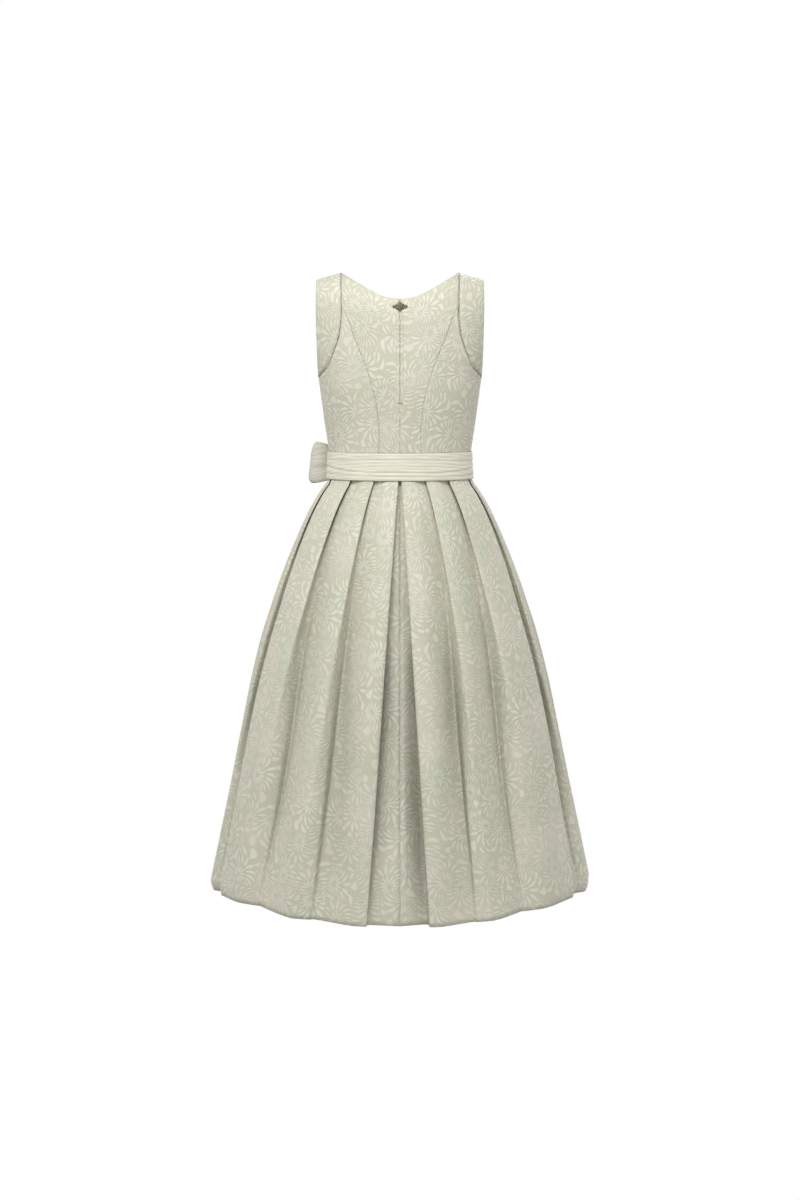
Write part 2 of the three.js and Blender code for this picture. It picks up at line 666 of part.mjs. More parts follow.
// The knot is a rounded wrap of the ribbon.
function bowKnot() {
  const { centre, away } = bowPlace();
  const geometry = joined(new THREE.SphereGeometry(1, 18, 12));
  const place = geometry.getAttribute("position");
  const corner = (value) => Math.sign(value) * Math.pow(Math.abs(value), 0.6);
  for (let i = 0; i < place.count; i += 1) {
    const x = corner(place.getX(i)) * KNOT.width / 2;
    const y = corner(place.getZ(i)) * KNOT.depth / 2;
    place.setXYZ(i, x, y, corner(place.getY(i)) * KNOT.height / 2);
  }
  geometry.rotateZ(Math.atan2(away.y, away.x) + Math.PI / 2);
  geometry.translate(centre.x, centre.y, centre.z);
  return facingOut(place.array, [...geometry.getIndex().array]);
}

// A tail of the bow, hanging over the apron from below the knot.
function bowTail({ startAngle, endAngle, length, lift, slant }) {
  const top = BOW_Z - KNOT.height / 2 - SEAM_GAP;
  return thickenedWall(steps(0, 1, 12).map((s) => {
    const row = steps(-1, 1, 6).map((u) => {
      const z = top - s * (length + slant * u);
      const atKnot = TAIL_KNOT_LIFT * (1 - smoothstep(s, 0, 0.16));
      const angle = radians(lerp(startAngle, endAngle, s));
      const out = apronOut(angle, z) + apronWave(z) + CLOTH + lerp(lift, 0, s ** 4) + atKnot;
      const spread = lerp(0.45, 1, smoothstep(s, 0, 0.35));
      const fold = TAIL_WAVE * (1 + Math.cos(2 * Math.PI * u)) * (1 - 0.4 * s);
      const turn = (u * spread * TAIL_WIDTH) / 2 / clothPerRadian(angle, z);
      return roundSkirt(angle + turn, out + fold, z);
    });
    return thicken(row);
  }));
}

// A small flat shape bent onto the bodice's back and raised off it.
function appliedToBack(shape, thickness) {
  const raised = new THREE.ExtrudeGeometry(shape, { depth: thickness, bevelEnabled: false, curveSegments: 5 });
  const geometry = joined(raised);
  const place = geometry.getAttribute("position");
  for (let i = 0; i < place.count; i += 1) {
    const x = place.getX(i);
    const z = place.getY(i);
    const level = levelAt(z);
    const angle = angleAt(Math.abs(x), z);
    const point = torsoPoint(angle, level, "back");
    const lift = 1.3 * SEAM_GAP + place.getZ(i);
    point.addScaledVector(torsoNormal(angle, level, "back"), lift);
    place.setXYZ(i, x < 0 ? -point.x : point.x, point.y, point.z);
  }
  return facingOut(place.array, [...geometry.getIndex().array]);
}

// The ornament at the centre back is a plain flower between two leaves.
const ORNAMENT = { z: -63, flowerRadius: 8.6, petals: 6, leafLength: 6.5, leafWidth: 6, thickness: 1.8 };

function flowerShape() {
  const points = steps(0, 2 * Math.PI, 4 * ORNAMENT.petals).slice(0, -1).map((turn) => {
    const radius = ORNAMENT.flowerRadius * (0.82 + 0.18 * Math.cos(ORNAMENT.petals * turn));
    return new THREE.Vector2(radius * Math.sin(turn), ORNAMENT.z + radius * Math.cos(turn));
  });
  return new THREE.Shape(points);
}

function leafShape(side) {
  const rootX = side * (ORNAMENT.flowerRadius * 0.72 + 1);
  const tipX = rootX + side * ORNAMENT.leafLength;
  const half = ORNAMENT.leafWidth / 2;
  const rise = 0;
  const shape = new THREE.Shape();
  shape.moveTo(rootX, ORNAMENT.z);
  shape.quadraticCurveTo((rootX + tipX) / 2, ORNAMENT.z + rise + 2 * half, tipX, ORNAMENT.z + rise);
  shape.quadraticCurveTo((rootX + tipX) / 2, ORNAMENT.z - half, rootX, ORNAMENT.z);
  return shape;
}

const dress = new THREE.Group();

function add(name, finish, geometry) {
  const metal = finish === "metal";
  const material = new THREE.MeshStandardMaterial({
    color: COLOURS[finish],
    roughness: metal ? 0.45 : 0.85,
    metalness: metal ? 0.9 : 0,
  });
  const mesh = new THREE.Mesh(geometry, material);
  mesh.name = name;
  dress.add(mesh);
}

for (const [hand, side] of [["left", 1], ["right", -1]]) {
  add(`back_centre_${hand}`, "jacquard", backCentre(side));
  add(`back_side_${hand}`, "jacquard", backSide(side));
  add(`back_armhole_${hand}`, "jacquard", backArmhole(side));
  add(`front_side_${hand}`, "jacquard", frontSide(side));
  add(`ornament_leaf_${hand}`, "metal", appliedToBack(leafShape(side), ORNAMENT.thickness));
}
add("front_centre", "jacquard", frontCentre());
for (const [panel, extent] of Object.entries(SKIRT_PANELS)) {
  add(`skirt_${panel}`, "jacquard", skirtPanel(extent));
}
add("ornament_flower", "metal", appliedToBack(flowerShape(), ORNAMENT.thickness));
add("sash_back", "sash", sashHalf(false));
add("sash_front", "sash", sashHalf(true));
add("apron", "sash", apron());
add("bow_knot", "sash", bowKnot());
add("bow_loop_left", "sash", bowLoop({ along: 1, away: 0.02 }));
add("bow_loop_right", "sash", bowLoop({ along: -1, away: 0.3 }));
add("bow_tail_left", "sash", bowTail({ startAngle: 147, endAngle: 139, length: 330, lift: 0.3, slant: 14 }));
add("bow_tail_right", "sash", bowTail({ startAngle: 151, endAngle: 156, length: 300, lift: 5.3, slant: -14 }));

export default dress;
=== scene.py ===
"""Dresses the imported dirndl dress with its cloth, folds, seams and small metal ornament.

Lengths are millimetres unless a field says metres, and shapes are turned into metres when a mesh
is made. Heights are counted from the top of the shoulder, so they are negative.
"""

import logging
import math
from dataclasses import dataclass, field
from enum import Enum
from functools import partial, reduce
from typing import Callable, Iterable, Sequence

import bmesh
import bpy
import numpy as np
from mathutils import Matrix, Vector


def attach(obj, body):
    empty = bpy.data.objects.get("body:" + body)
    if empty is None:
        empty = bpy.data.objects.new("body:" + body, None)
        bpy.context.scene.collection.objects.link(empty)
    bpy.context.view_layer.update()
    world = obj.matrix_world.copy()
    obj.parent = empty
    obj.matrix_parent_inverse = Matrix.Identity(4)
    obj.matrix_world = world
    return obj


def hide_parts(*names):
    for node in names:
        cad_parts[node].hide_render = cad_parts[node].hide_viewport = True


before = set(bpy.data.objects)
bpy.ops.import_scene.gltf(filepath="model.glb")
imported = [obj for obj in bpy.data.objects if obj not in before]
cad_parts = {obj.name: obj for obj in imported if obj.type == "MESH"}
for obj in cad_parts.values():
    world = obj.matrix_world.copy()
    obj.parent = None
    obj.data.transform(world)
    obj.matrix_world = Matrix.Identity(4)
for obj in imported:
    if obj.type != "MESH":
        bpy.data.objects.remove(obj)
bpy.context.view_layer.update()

MM = 0.001
LOG = logging.getLogger("dirndl")

Point = tuple[float, float, float]
Place = tuple[float, float]
Edge = Callable[[float], float]


class Side(Enum):
    """The wearer's side that a mirrored piece lies on."""

    LEFT = 1
    RIGHT = -1


class Face(Enum):
    """Whether a piece lies on the back or on the front."""

    BACK = "back"
    FRONT = "front"


class Slot(Enum):
    """The material slots."""

    JACQUARD = "dress_jacquard"
    APRON = "apron_cloth"
    METAL = "ornament_metal"


class Held(Enum):
    """How a sheet of cloth is held."""

    STRETCHED = "stretched"
    HUNG = "hung"
    GATHERED = "gathered"
    FOLDED = "folded"


# Small mathematics


def lerp(a: float, b: float, share: float) -> float:
    """Mixes two numbers."""
    return a + (b - a) * share


def clamp(value: float, low: float, high: float) -> float:
    """Keeps a number between two limits."""
    return max(low, min(high, value))


def smoothstep(value: float, low: float, high: float) -> float:
    """Rises smoothly from 0 at low to 1 at high."""
    s = clamp((value - low) / (high - low), 0.0, 1.0)
    return s * s * (3 - 2 * s)


def steps(first: float, last: float, count: int) -> list[float]:
    """Gives evenly spaced numbers from first to last, both included."""
    return [lerp(first, last, i / count) for i in range(count + 1)]


def bump(distance: float, reach: float) -> float:
    """Gives a smooth bump that is 1 at no distance and fades out past its reach."""
    return math.exp(-((distance / reach) ** 2))


def signed_power(value: float, power: float) -> float:
    """Raises a number's size to a power and keeps its sign."""
    return math.copysign(abs(value) ** power, value)


def ripple(u: float, v: float, seed: int) -> float:
    """Gives a smooth irregular wave between about -1 and 1.

    Args:
        u: First coordinate, in wavelengths.
        v: Second coordinate, in wavelengths.
        seed: Picks one of many such waves.

    Returns:
        The height of the wave.
    """
    count, base, spread = 4, 0.6, 0.5
    total = 0.0
    for turn_u, turn_v, phase in np.random.default_rng(seed).uniform(-1, 1, (count, 3)):
        total += math.sin(2 * math.pi * ((base + spread * turn_u) * u + turn_v * v + phase))
    return total / (count - 1)


@dataclass(frozen=True)
class Table:
    """Columns of numbers over falling heights, joined by smooth curves with no overshoot.

    Args:
        rows: One tuple for each height, whose first number is the height.
    """

    rows: tuple[tuple[float, ...], ...]

    def column(self, index: int) -> Edge:
        """Gives a column as a function of height.

        Args:
            index: The column's place in each row.

        Returns:
            The function, which holds its end values beyond the table.
        """
        heights = [row[0] for row in self.rows]
        values = [row[index] for row in self.rows]
        pairs = zip(heights, heights[1:], values, values[1:])
        chords = [(d - c) / (b - a) for a, b, c, d in pairs]
        slopes = []
        for i in range(len(values)):
            before, after = chords[max(i - 1, 0)], chords[min(i, len(chords) - 1)]
            level = before * after <= 0
            slopes.append(0.0 if level else 2 * before * after / (before + after))

        def at(z: float) -> float:
            """Reads the curve at one height.

            Args:
                z: The height.

            Returns:
                The column's value there.
            """
            z = clamp(z, heights[-1], heights[0])
            i = 0
            while i < len(chords) - 1 and z < heights[i + 1]:
                i += 1
            span = heights[i + 1] - heights[i]
            s = (z - heights[i]) / span
            turn = slopes[i] * (1 - s) - slopes[i + 1] * s + chords[i] * (2 * s - 1)
            return values[i] + (values[i + 1] - values[i]) * s + s * (1 - s) * span * turn

        return at


# Shader building


class Sock:
    """A node socket that Python's operators join into Math nodes."""

    def __init__(self, graph: "Graph", socket: bpy.types.NodeSocket) -> None:
        """Wraps one output socket of a graph."""
        self.graph = graph
        self.socket = socket

    def _with(self, operation: str, *others: "Sock | float") -> "Sock":
        """Adds a Math node with this socket first."""
        return self.graph.math(operation, self, *others)

    def __add__(self, other: "Sock | float") -> "Sock":
        """Adds."""
        return self._with("ADD", other)

    __radd__ = __add__

    def __mul__(self, other: "Sock | float") -> "Sock":
        """Multiplies."""
        return self._with("MULTIPLY", other)

    __rmul__ = __mul__

    def __sub__(self, other: "Sock | float") -> "Sock":
        """Subtracts."""
        return self._with("SUBTRACT", other)

    def __rsub__(self, other: "Sock | float") -> "Sock":
        """Subtracts this from a number."""
        return self.graph.math("SUBTRACT", other, self)

    def __truediv__(self, other: "Sock | float") -> "Sock":
        """Divides."""
        return self._with("DIVIDE", other)

    def __rtruediv__(self, other: "Sock | float") -> "Sock":
        """Divides a number by this."""
        return self.graph.math("DIVIDE", other, self)

    def __abs__(self) -> "Sock":
        """Takes the size without the sign."""
        return self._with("ABSOLUTE")

    def __pow__(self, other: "Sock | float") -> "Sock":
        """Raises to a power."""
        return self._with("POWER", other)

    def sine(self) -> "Sock":
        """Takes the sine."""
        return self._with("SINE")

    def floor(self) -> "Sock":
        """Rounds down to a whole number."""
        return self._with("FLOOR")

    def most(self, other: "Sock | float") -> "Sock":
        """Takes the larger of two."""
        return self._with("MAXIMUM", other)

    def clamped(self) -> "Sock":
        """Keeps it between 0 and 1."""
        return self.graph.take("ShaderNodeClamp", {}, {0: self})

    def ramp(self, low: float, high: float) -> "Sock":
        """Rises smoothly from 0 at low to 1 at high."""
        settings = {"interpolation_type": "SMOOTHSTEP"}
        return self.graph.take("ShaderNodeMapRange", settings, {0: self, 1: low, 2: high})


Colour = tuple[float, float, float, float]
Value = Sock | float | tuple[float, ...]


class Graph:
    """The node tree of one material or of the world."""

    material: bpy.types.Material

    def __init__(self, tree: bpy.types.NodeTree) -> None:
        """Empties a node tree to build in it."""
        self.tree = tree
        self.tree.nodes.clear()

    @classmethod
    def of_material(cls, name: str) -> "Graph":
        """Starts an empty material.

        Args:
            name: The material's name.

        Returns:
            Its graph.
        """
        material = bpy.data.materials.new(name)
        material.use_nodes = True
        graph = cls(material.node_tree)
        graph.material = material
        return graph

    def node(
        self, kind: str, settings: dict[str, object], inputs: dict[int | str, Value]
    ) -> bpy.types.Node:
        """Adds a node of any type.

        Args:
            kind: The node's type name.
            settings: Its properties by name.
            inputs: Values or sockets by input name or number.

        Returns:
            The node.
        """
        node = self.tree.nodes.new(kind)
        for key, value in settings.items():
            setattr(node, key, value)
        for key, value in inputs.items():
            if isinstance(value, Sock):
                self.tree.links.new(value.socket, node.inputs[key])
            else:
                node.inputs[key].default_value = value
        return node

    def take(
        self, kind: str, settings: dict[str, object], inputs: dict[int | str, Value],
        output: int | str = 0,
    ) -> Sock:
        """Adds a node like the method node, and gives one of its outputs."""
        return Sock(self, self.node(kind, settings, inputs).outputs[output])

    def math(self, operation: str, *values: Sock | float) -> Sock:
        """Adds a Math node."""
        return self.take("ShaderNodeMath", {"operation": operation}, dict(enumerate(values)))

    def vector(self, operation: str, inputs: dict[int | str, Value]) -> Sock:
        """Adds a Vector Math node."""
        return self.take("ShaderNodeVectorMath", {"operation": operation}, inputs)

    def split(self, vector: Sock) -> tuple[Sock, Sock, Sock]:
        """Splits a vector into its three numbers."""
        node = self.node("ShaderNodeSeparateXYZ", {}, {0: vector})
        return tuple(Sock(self, output) for output in node.outputs)

    def mix(self, share: Value, a: Value, b: Value) -> Sock:
        """Mixes two colours."""
        return self.take("ShaderNodeMix", {"data_type": "RGBA"}, {0: share, 6: a, 7: b}, 2)

    def noise(self, place: Sock, scale: float, detail: float = 2.0) -> Sock:
        """Adds a Noise Texture with so many waves in a metre, and gives its grey value."""
        inputs = {"Vector": place, "Scale": scale, "Detail": detail}
        return self.take("ShaderNodeTexNoise", {}, inputs)

    def random(self, x: Sock, y: Sock) -> Sock:
        """Draws a number from 0 to 1 for each pair of numbers."""
        pair = self.take("ShaderNodeCombineXYZ", {}, {0: x, 1: y})
        return self.take("ShaderNodeTexWhiteNoise", {"noise_dimensions": "2D"}, {"Vector": pair})

    def geometry(self, output: str) -> Sock:
        """Gives one output of the Geometry node."""
        return self.take("ShaderNodeNewGeometry", {}, {}, output)

    def cloth_place(self) -> Sock:
        """Gives the place on the flat cloth, in metres."""
        return self.take("ShaderNodeUVMap", {"uv_map": ClothGrid.UV_NAME}, {})

    def finish(self, settings: dict[str, Value], height: Sock, depth: float) -> bpy.types.Material:
        """Ends the tree with a Principled shader and a bump.

        Args:
            settings: Values or sockets by the shader's input name.
            height: The bump's height, from 0 to 1.
            depth: The height of 1, in metres.

        Returns:
            The material.
        """
        relief = self.take("ShaderNodeBump", {}, {"Height": height, "Distance": depth})
        surface = self.take("ShaderNodeBsdfPrincipled", {}, {**settings, "Normal": relief})
        self.node("ShaderNodeOutputMaterial", {}, {0: surface})
        return self.material


def shade(red: float, green: float, blue: float) -> Colour:
    """Turns an 8-bit sRGB colour into the linear one that shaders take."""
    linear = [((c / 255 + 0.055) / 1.055) ** 2.4 for c in (red, green, blue)]
    return (*linear, 1.0)


@dataclass(frozen=True)
class FoldShade:
    """The darkening of cloth in its folds, which are narrow at the top and wide low down.

    Args:
        near: Reach of a fold's shade above the waist, in metres.
        waist, skirt: Depths under the shoulder between which the reach grows, and by how much.
        samples: Rays for each point.
        closed: Shares of open space at which the shade is full and at which it ends.
        depth, deep: The deep colour's share in the deepest folds, and that colour.
    """

    near: float = 0.006
    waist: Point = (0.34, 0.42, 0.002)
    skirt: Point = (0.52, 0.95, 0.06)
    samples: int = 6
    closed: Place = (0.1, 0.84)
    depth: float = 0.95
    deep: Colour = shade(50, 56, 38)

    def grown(self, below: Sock, zone: Point) -> Sock:
        """Gives how much the reach has grown in one zone."""
        low, high, more = zone
        return below.ramp(low, high) * more

    def over(self, graph: Graph, colour: Sock) -> Sock:
        """Deepens a colour in the folds.

        Args:
            graph: The material's tree.
            colour: The cloth's colour.

        Returns:
            The deepened colour.
        """
        below = 0 - graph.split(graph.geometry("Position"))[2]
        reach = self.grown(below, self.waist) + self.grown(below, self.skirt) + self.near
        kind, settings = "ShaderNodeAmbientOcclusion", {"samples": self.samples}
        opened = graph.take(kind, settings, {"Distance": reach}, "AO").ramp(*self.closed)
        return graph.mix((1 - opened) * self.depth, colour, self.deep)


@dataclass(frozen=True)
class Cloud:
    """A soft tint that drifts over cloth.

    Args:
        scale: Clouds in a metre.
        low, high: Noise at which the tint starts and at which it is full.
        strength, tint: Its greatest share, and its colour.
    """

    scale: float
    low: float
    high: float
    strength: float
    tint: Colour

    def over(self, graph: Graph, place: Sock, colour: Value) -> Sock:
        """Tints a colour."""
        share = graph.noise(place, self.scale).ramp(self.low, self.high) * self.strength
        return graph.mix(share, colour, self.tint)


@dataclass(frozen=True)
class LeafRing:
    """One ring of leaves round the root of a spray.

    Args:
        count: Leaves in the whole ring.
        start, end: Where the leaves start and end, as shares of the distance between sprays.
        width: Half of a leaf's width, as such a share.
    """

    count: int
    start: float
    end: float
    width: float


@dataclass(frozen=True)
class JacquardFinish:
    """Woven cloth with sprays of slender curved leaves, a little lighter than its ground.

    Args:
        spacing: Distance from one spray to the next, in metres.
        scatter: How far the sprays stray from even rows, from 0 to 1.
        border: Distances from the line between two sprays where their leaves fade in.
        ground, leaf: Colours between the leaves and on them.
        ground_clouds, leaf_cloud: Tints over the ground and over the leaves.
        rings: The rings of leaves, from the inside out.
        droop: How strongly the leaves bend away from a spray's axis.
        lean: How far a spray's root lies behind its middle, as a share of the spacing.
        offset: How far each ring is turned against the next, in turns.
        uneven: How much the leaves of a ring differ in where they start.
        belly, point: Powers of a leaf's outline, for its widest place and for its ends.
        soften: Where a leaf's edge starts and ends, in half widths.
        strength, vary: The leaves' share in the weakest spray, and how much the strongest adds.
        weave, weave_share: Threads in a metre, and their share in the relief.
        relief: Height of the relief, in metres.
        rough, gloss: Roughness of the ground, and how much smoother the leaves are.
        specular, sheen: Strengths of the plain reflection and of the soft sheen.
        folds: The shade in the folds.
    """

    spacing: float = 0.056
    scatter: float = 0.6
    border: Place = (0.008, 0.035)
    ground: Colour = shade(181, 179, 160)
    leaf: Colour = shade(213, 213, 200)
    ground_clouds: tuple[Cloud, ...] = (
        Cloud(9, 0.42, 0.68, 0.5, shade(201, 192, 178)),
        Cloud(15, 0.46, 0.7, 0.5, shade(174, 182, 159)),
    )
    leaf_cloud: Cloud = Cloud(9, 0.48, 0.7, 0.4, shade(201, 192, 178))
    rings: tuple[LeafRing, ...] = (
        LeafRing(16, 0.04, 0.42, 0.034),
        LeafRing(30, 0.33, 0.76, 0.037),
        LeafRing(44, 0.66, 1.1, 0.038),
    )
    droop: float = 0.9
    lean: float = 0.36
    offset: float = 0.37
    uneven: float = 0.07
    belly: float = 0.85
    point: float = 1.25
    soften: Place = (-0.08, 0.4)
    strength: float = 0.35
    vary: float = 0.22
    weave: float = 900
    weave_share: float = 0.25
    relief: float = 0.0005
    rough: float = 0.72
    gloss: float = 0.22
    specular: float = 0.35
    sheen: float = 0.12
    folds: FoldShade = FoldShade()

    def leaves(self, turn: Sock, radius: Sock, cell: Sock, ring: LeafRing) -> Sock:
        """Draws one ring of leaves.

        Args:
            turn: Direction from the spray's root in turns, once the droop is undone.
            radius: Distance from the root, as a share of the spacing.
            cell: A number that differs from spray to spray.
            ring: The ring's sizes.

        Returns:
            1 on the leaves and 0 between them.
        """
        place = turn * ring.count + self.offset * ring.count
        number = place.floor()
        chance = turn.graph.random(number, cell)
        aside = abs(place - number - 0.5) * radius * (2 * math.pi / ring.count)
        first = ring.start + (chance - 0.5) * self.uneven
        share = ((radius - first) / (ring.end - ring.start)).clamped()
        outline = ((share**self.belly) * math.pi).sine() ** self.point * ring.width
        low, high = self.soften
        return (outline - aside).ramp(low * ring.width, high * ring.width)

    def sprays(self, graph: Graph, place: Sock) -> tuple[Sock, Sock]:
        """Scatters sprays over the cloth, each with an axis that its leaves bend away from.

        Args:
            graph: The material's tree.
            place: The place on the cloth.

        Returns:
            The leaves as a mask, and a number that differs from spray to spray.
        """
        scaled = graph.vector("SCALE", {0: place, "Scale": 1 / self.spacing})
        settings = {"voronoi_dimensions": "2D"}
        inputs = {"Vector": scaled, "Scale": 1.0, "Randomness": self.scatter}
        cells = graph.node("ShaderNodeTexVoronoi", settings, inputs)
        settings = {**settings, "feature": "DISTANCE_TO_EDGE"}
        border = graph.take("ShaderNodeTexVoronoi", settings, inputs, "Distance")
        centre = Sock(graph, cells.outputs["Position"])
        tint = graph.split(Sock(graph, cells.outputs["Color"]))
        x, y, _ = graph.split(graph.vector("SUBTRACT", {0: scaled, 1: centre}))
        axis = tint[0] * (2 * math.pi)
        x, y = x + (axis + math.pi / 2).sine() * self.lean, y + axis.sine() * self.lean
        radius = (x * x + y * y) ** 0.5
        swing = graph.math("ARCTAN2", y, x) - axis
        turn = (swing - swing.sine() * radius * self.droop) / (2 * math.pi)
        drawn = [self.leaves(turn, radius, tint[1], ring) for ring in self.rings]
        return reduce(Sock.most, drawn) * border.ramp(*self.border), tint[2]

    def material(self) -> bpy.types.Material:
        """Makes the material.

        Returns:
            The material.
        """
        graph = Graph.of_material("jacquard")
        place = graph.cloth_place()
        leaves, tint = self.sprays(graph, place)
        ground: Value = self.ground
        for cloud in self.ground_clouds:
            ground = cloud.over(graph, place, ground)
        leaf = self.leaf_cloud.over(graph, place, self.leaf)
        colour = graph.mix(leaves * (self.strength + tint * self.vary), ground, leaf)
        threads = graph.noise(place, self.weave, 0.0)
        values = {
            "Base Color": self.folds.over(graph, colour),
            "Roughness": self.rough - leaves * self.gloss,
            "Specular IOR Level": self.specular,
            "Sheen Weight": self.sheen,
        }
        height = leaves * (1 - self.weave_share) + threads * self.weave_share
        return graph.finish(values, height, self.relief)


@dataclass(frozen=True)
class RibbedFinish:
    """Cream cloth with fine ribs that run along the cloth's first direction.

    Args:
        pitch: Distance from one rib to the next, in metres.
        wander: Places in a metre where the ribs stray, and how far, in pitches.
        rib, groove: Colours of the ribs and between them.
        slub: Uneven threads in a metre along and across the ribs.
        slub_edge: Noise at which such a thread starts and at which it is full.
        slub_share, slub_relief: The threads' share in the colour and in the relief.
        relief: Height of the relief, in metres.
        rough, gloss: Roughness of the grooves, and how much smoother the ribs are.
        specular, sheen: Strengths of the plain reflection and of the soft sheen.
        folds: The shade in the folds.
    """

    pitch: float = 0.0026
    wander: Place = (30, 0.4)
    rib: Colour = shade(223, 219, 203)
    groove: Colour = shade(194, 190, 172)
    slub: Point = (20, 460, 1)
    slub_edge: Place = (0.35, 0.65)
    slub_share: float = 0.5
    slub_relief: float = 0.4
    relief: float = 0.0008
    rough: float = 0.7
    gloss: float = 0.08
    specular: float = 0.35
    sheen: float = 0.1
    folds: FoldShade = FoldShade()

    def material(self, name: str) -> bpy.types.Material:
        """Makes the material.

        Args:
            name: The material's name.

        Returns:
            The material.
        """
        graph = Graph.of_material(name)
        place = graph.cloth_place()
        across = graph.split(place)[1]
        places, far = self.wander
        phase = across / self.pitch + graph.noise(place, places) * far
        wave = (phase * (2 * math.pi)).sine() * 0.5 + 0.5
        slub = graph.noise(graph.vector("MULTIPLY", {0: place, 1: self.slub}), 1.0)
        threads = slub.ramp(*self.slub_edge)
        share = wave * (1 - self.slub_share) + threads * self.slub_share
        values = {
            "Base Color": self.folds.over(graph, graph.mix(share, self.groove, self.rib)),
            "Roughness": self.rough - wave * self.gloss,
            "Specular IOR Level": self.specular,
            "Sheen Weight": self.sheen,
        }
        height = wave * (1 - self.slub_relief) + slub * self.slub_relief
        return graph.finish(values, height, self.relief)


@dataclass(frozen=True)
class AgedMetalFinish:
    """Metal with dark recesses and paler worn heights.

    Args:
        dark, worn: Colours of the tarnish and of the rubbed places.
        grain, grain_detail: Grains in a metre, and how many finer layers they have.
        patchy: How much the grain breaks up the worn places.
        edge: Sharpness of the form at which wear starts and at which it is full.
        metallic: How metallic it is.
        rough, polish: Roughness of the tarnish, and how much smoother the worn places are.
        relief: Height of the grain, in metres.
    """

    dark: Colour = shade(62, 56, 44)
    worn: Colour = shade(128, 118, 92)
    grain: float = 900
    grain_detail: float = 3
    patchy: float = 0.06
    edge: Place = (0.48, 0.58)
    metallic: float = 0.85
    rough: float = 0.55
    polish: float = 0.18
    relief: float = 0.0001

    def material(self) -> bpy.types.Material:
        """Makes the material.

        Returns:
            The material.
        """
        graph = Graph.of_material("aged_metal")
        grain = graph.noise(graph.geometry("Position"), self.grain, self.grain_detail)
        sharp = graph.geometry("Pointiness") + (grain - 0.5) * self.patchy
        worn = sharp.ramp(*self.edge)
        values = {
            "Base Color": graph.mix(worn, self.dark, self.worn),
            "Metallic": self.metallic,
            "Roughness": self.rough - worn * self.polish,
        }
        return graph.finish(values, grain, self.relief)


# Mesh building


def add_object(name: str, data: bpy.types.ID) -> bpy.types.Object:
    """Puts a new object into the scene.

    Args:
        name: The object's name.
        data: Its mesh, camera or lamp.

    Returns:
        The object.
    """
    made = bpy.data.objects.new(name, data)
    bpy.context.scene.collection.objects.link(made)
    return made


@dataclass
class ClothGrid:
    """A grid of points with its place on the flat cloth.

    Args:
        points: Rows of points.
        flat: Rows of places on the cloth, with the points' own shape.
        ring: Whether the last column meets the first.
    """

    UV_NAME = "cloth"

    points: list[list[Point]]
    flat: list[list[Place]]
    ring: bool = False

    def turned(self) -> "ClothGrid":
        """Turns the rows round, so that the cloth faces the other way."""
        return ClothGrid([row[::-1] for row in self.points], [row[::-1] for row in self.flat])

    def faces(self) -> list[tuple[int, int, int, int]]:
        """Lists the squares between the points.

        Returns:
            The four point numbers of each square.
        """
        columns = len(self.points[0])
        made = []
        for start in range(0, (len(self.points) - 1) * columns, columns):
            below = start + columns
            for c in range(columns if self.ring else columns - 1):
                d = (c + 1) % columns
                made.append((start + c, below + c, below + d, start + d))
        return made

    def build(self, name: str, thickness: float, offset: float) -> bpy.types.Object:
        """Makes a thin closed shell from the grid.

        Args:
            name: The new object's name.
            thickness: The cloth's thickness.
            offset: -1 puts the thickness behind the grid, and 0 half on each side.

        Returns:
            The object.
        """
        mesh = bpy.data.meshes.new(name)
        vertices = [tuple(c * MM for c in p) for row in self.points for p in row]
        mesh.from_pydata(vertices, [], self.faces())
        layer = mesh.uv_layers.new(name=self.UV_NAME)
        spots = np.array(self.flat, float).reshape(-1, 2) * MM
        loops = np.zeros(len(mesh.loops), np.int64)
        mesh.loops.foreach_get("vertex_index", loops)
        layer.data.foreach_set("uv", spots[loops].ravel())
        mesh.shade_smooth()
        piece = add_object(name, mesh)
        shell = piece.modifiers.new("cloth", "SOLIDIFY")
        shell.thickness = thickness * MM
        shell.offset = offset
        return piece

    def area(self) -> float:
        """Measures the grid's surface.

        Returns:
            Square metres.
        """
        p = np.array(self.points, float) * MM
        a, b, c, d = p[:-1, :-1], p[:-1, 1:], p[1:, 1:], p[1:, :-1]
        halves = np.cross(b - a, c - a), np.cross(c - a, d - a)
        return float(sum(np.linalg.norm(h, axis=-1).sum() / 2 for h in halves))


def unroll(points: Sequence[Sequence[Point]], along: float = 0.0) -> list[list[Place]]:
    """Lays rows of points out flat by their distances.

    Args:
        points: Rows of points.
        along: Where the flat cloth starts.

    Returns:
        Places on the flat cloth.
    """
    grid = np.array(points, float)
    across = np.linalg.norm(np.diff(grid, axis=1), axis=2)
    down = np.linalg.norm(np.diff(grid, axis=0), axis=2)
    u = np.concatenate([np.zeros((len(grid), 1)), np.cumsum(across, axis=1)], axis=1)
    v = np.concatenate([np.zeros((1, grid.shape[1])), np.cumsum(down, axis=0)], axis=0)
    return [[(along + a, b) for a, b in zip(*rows)] for rows in zip(u, v)]


def travelled(points: np.ndarray) -> np.ndarray:
    """Gives how far along a line each of its points is."""
    length = np.linalg.norm(np.diff(points, axis=0), axis=1)
    return np.concatenate([[0], np.cumsum(length)])


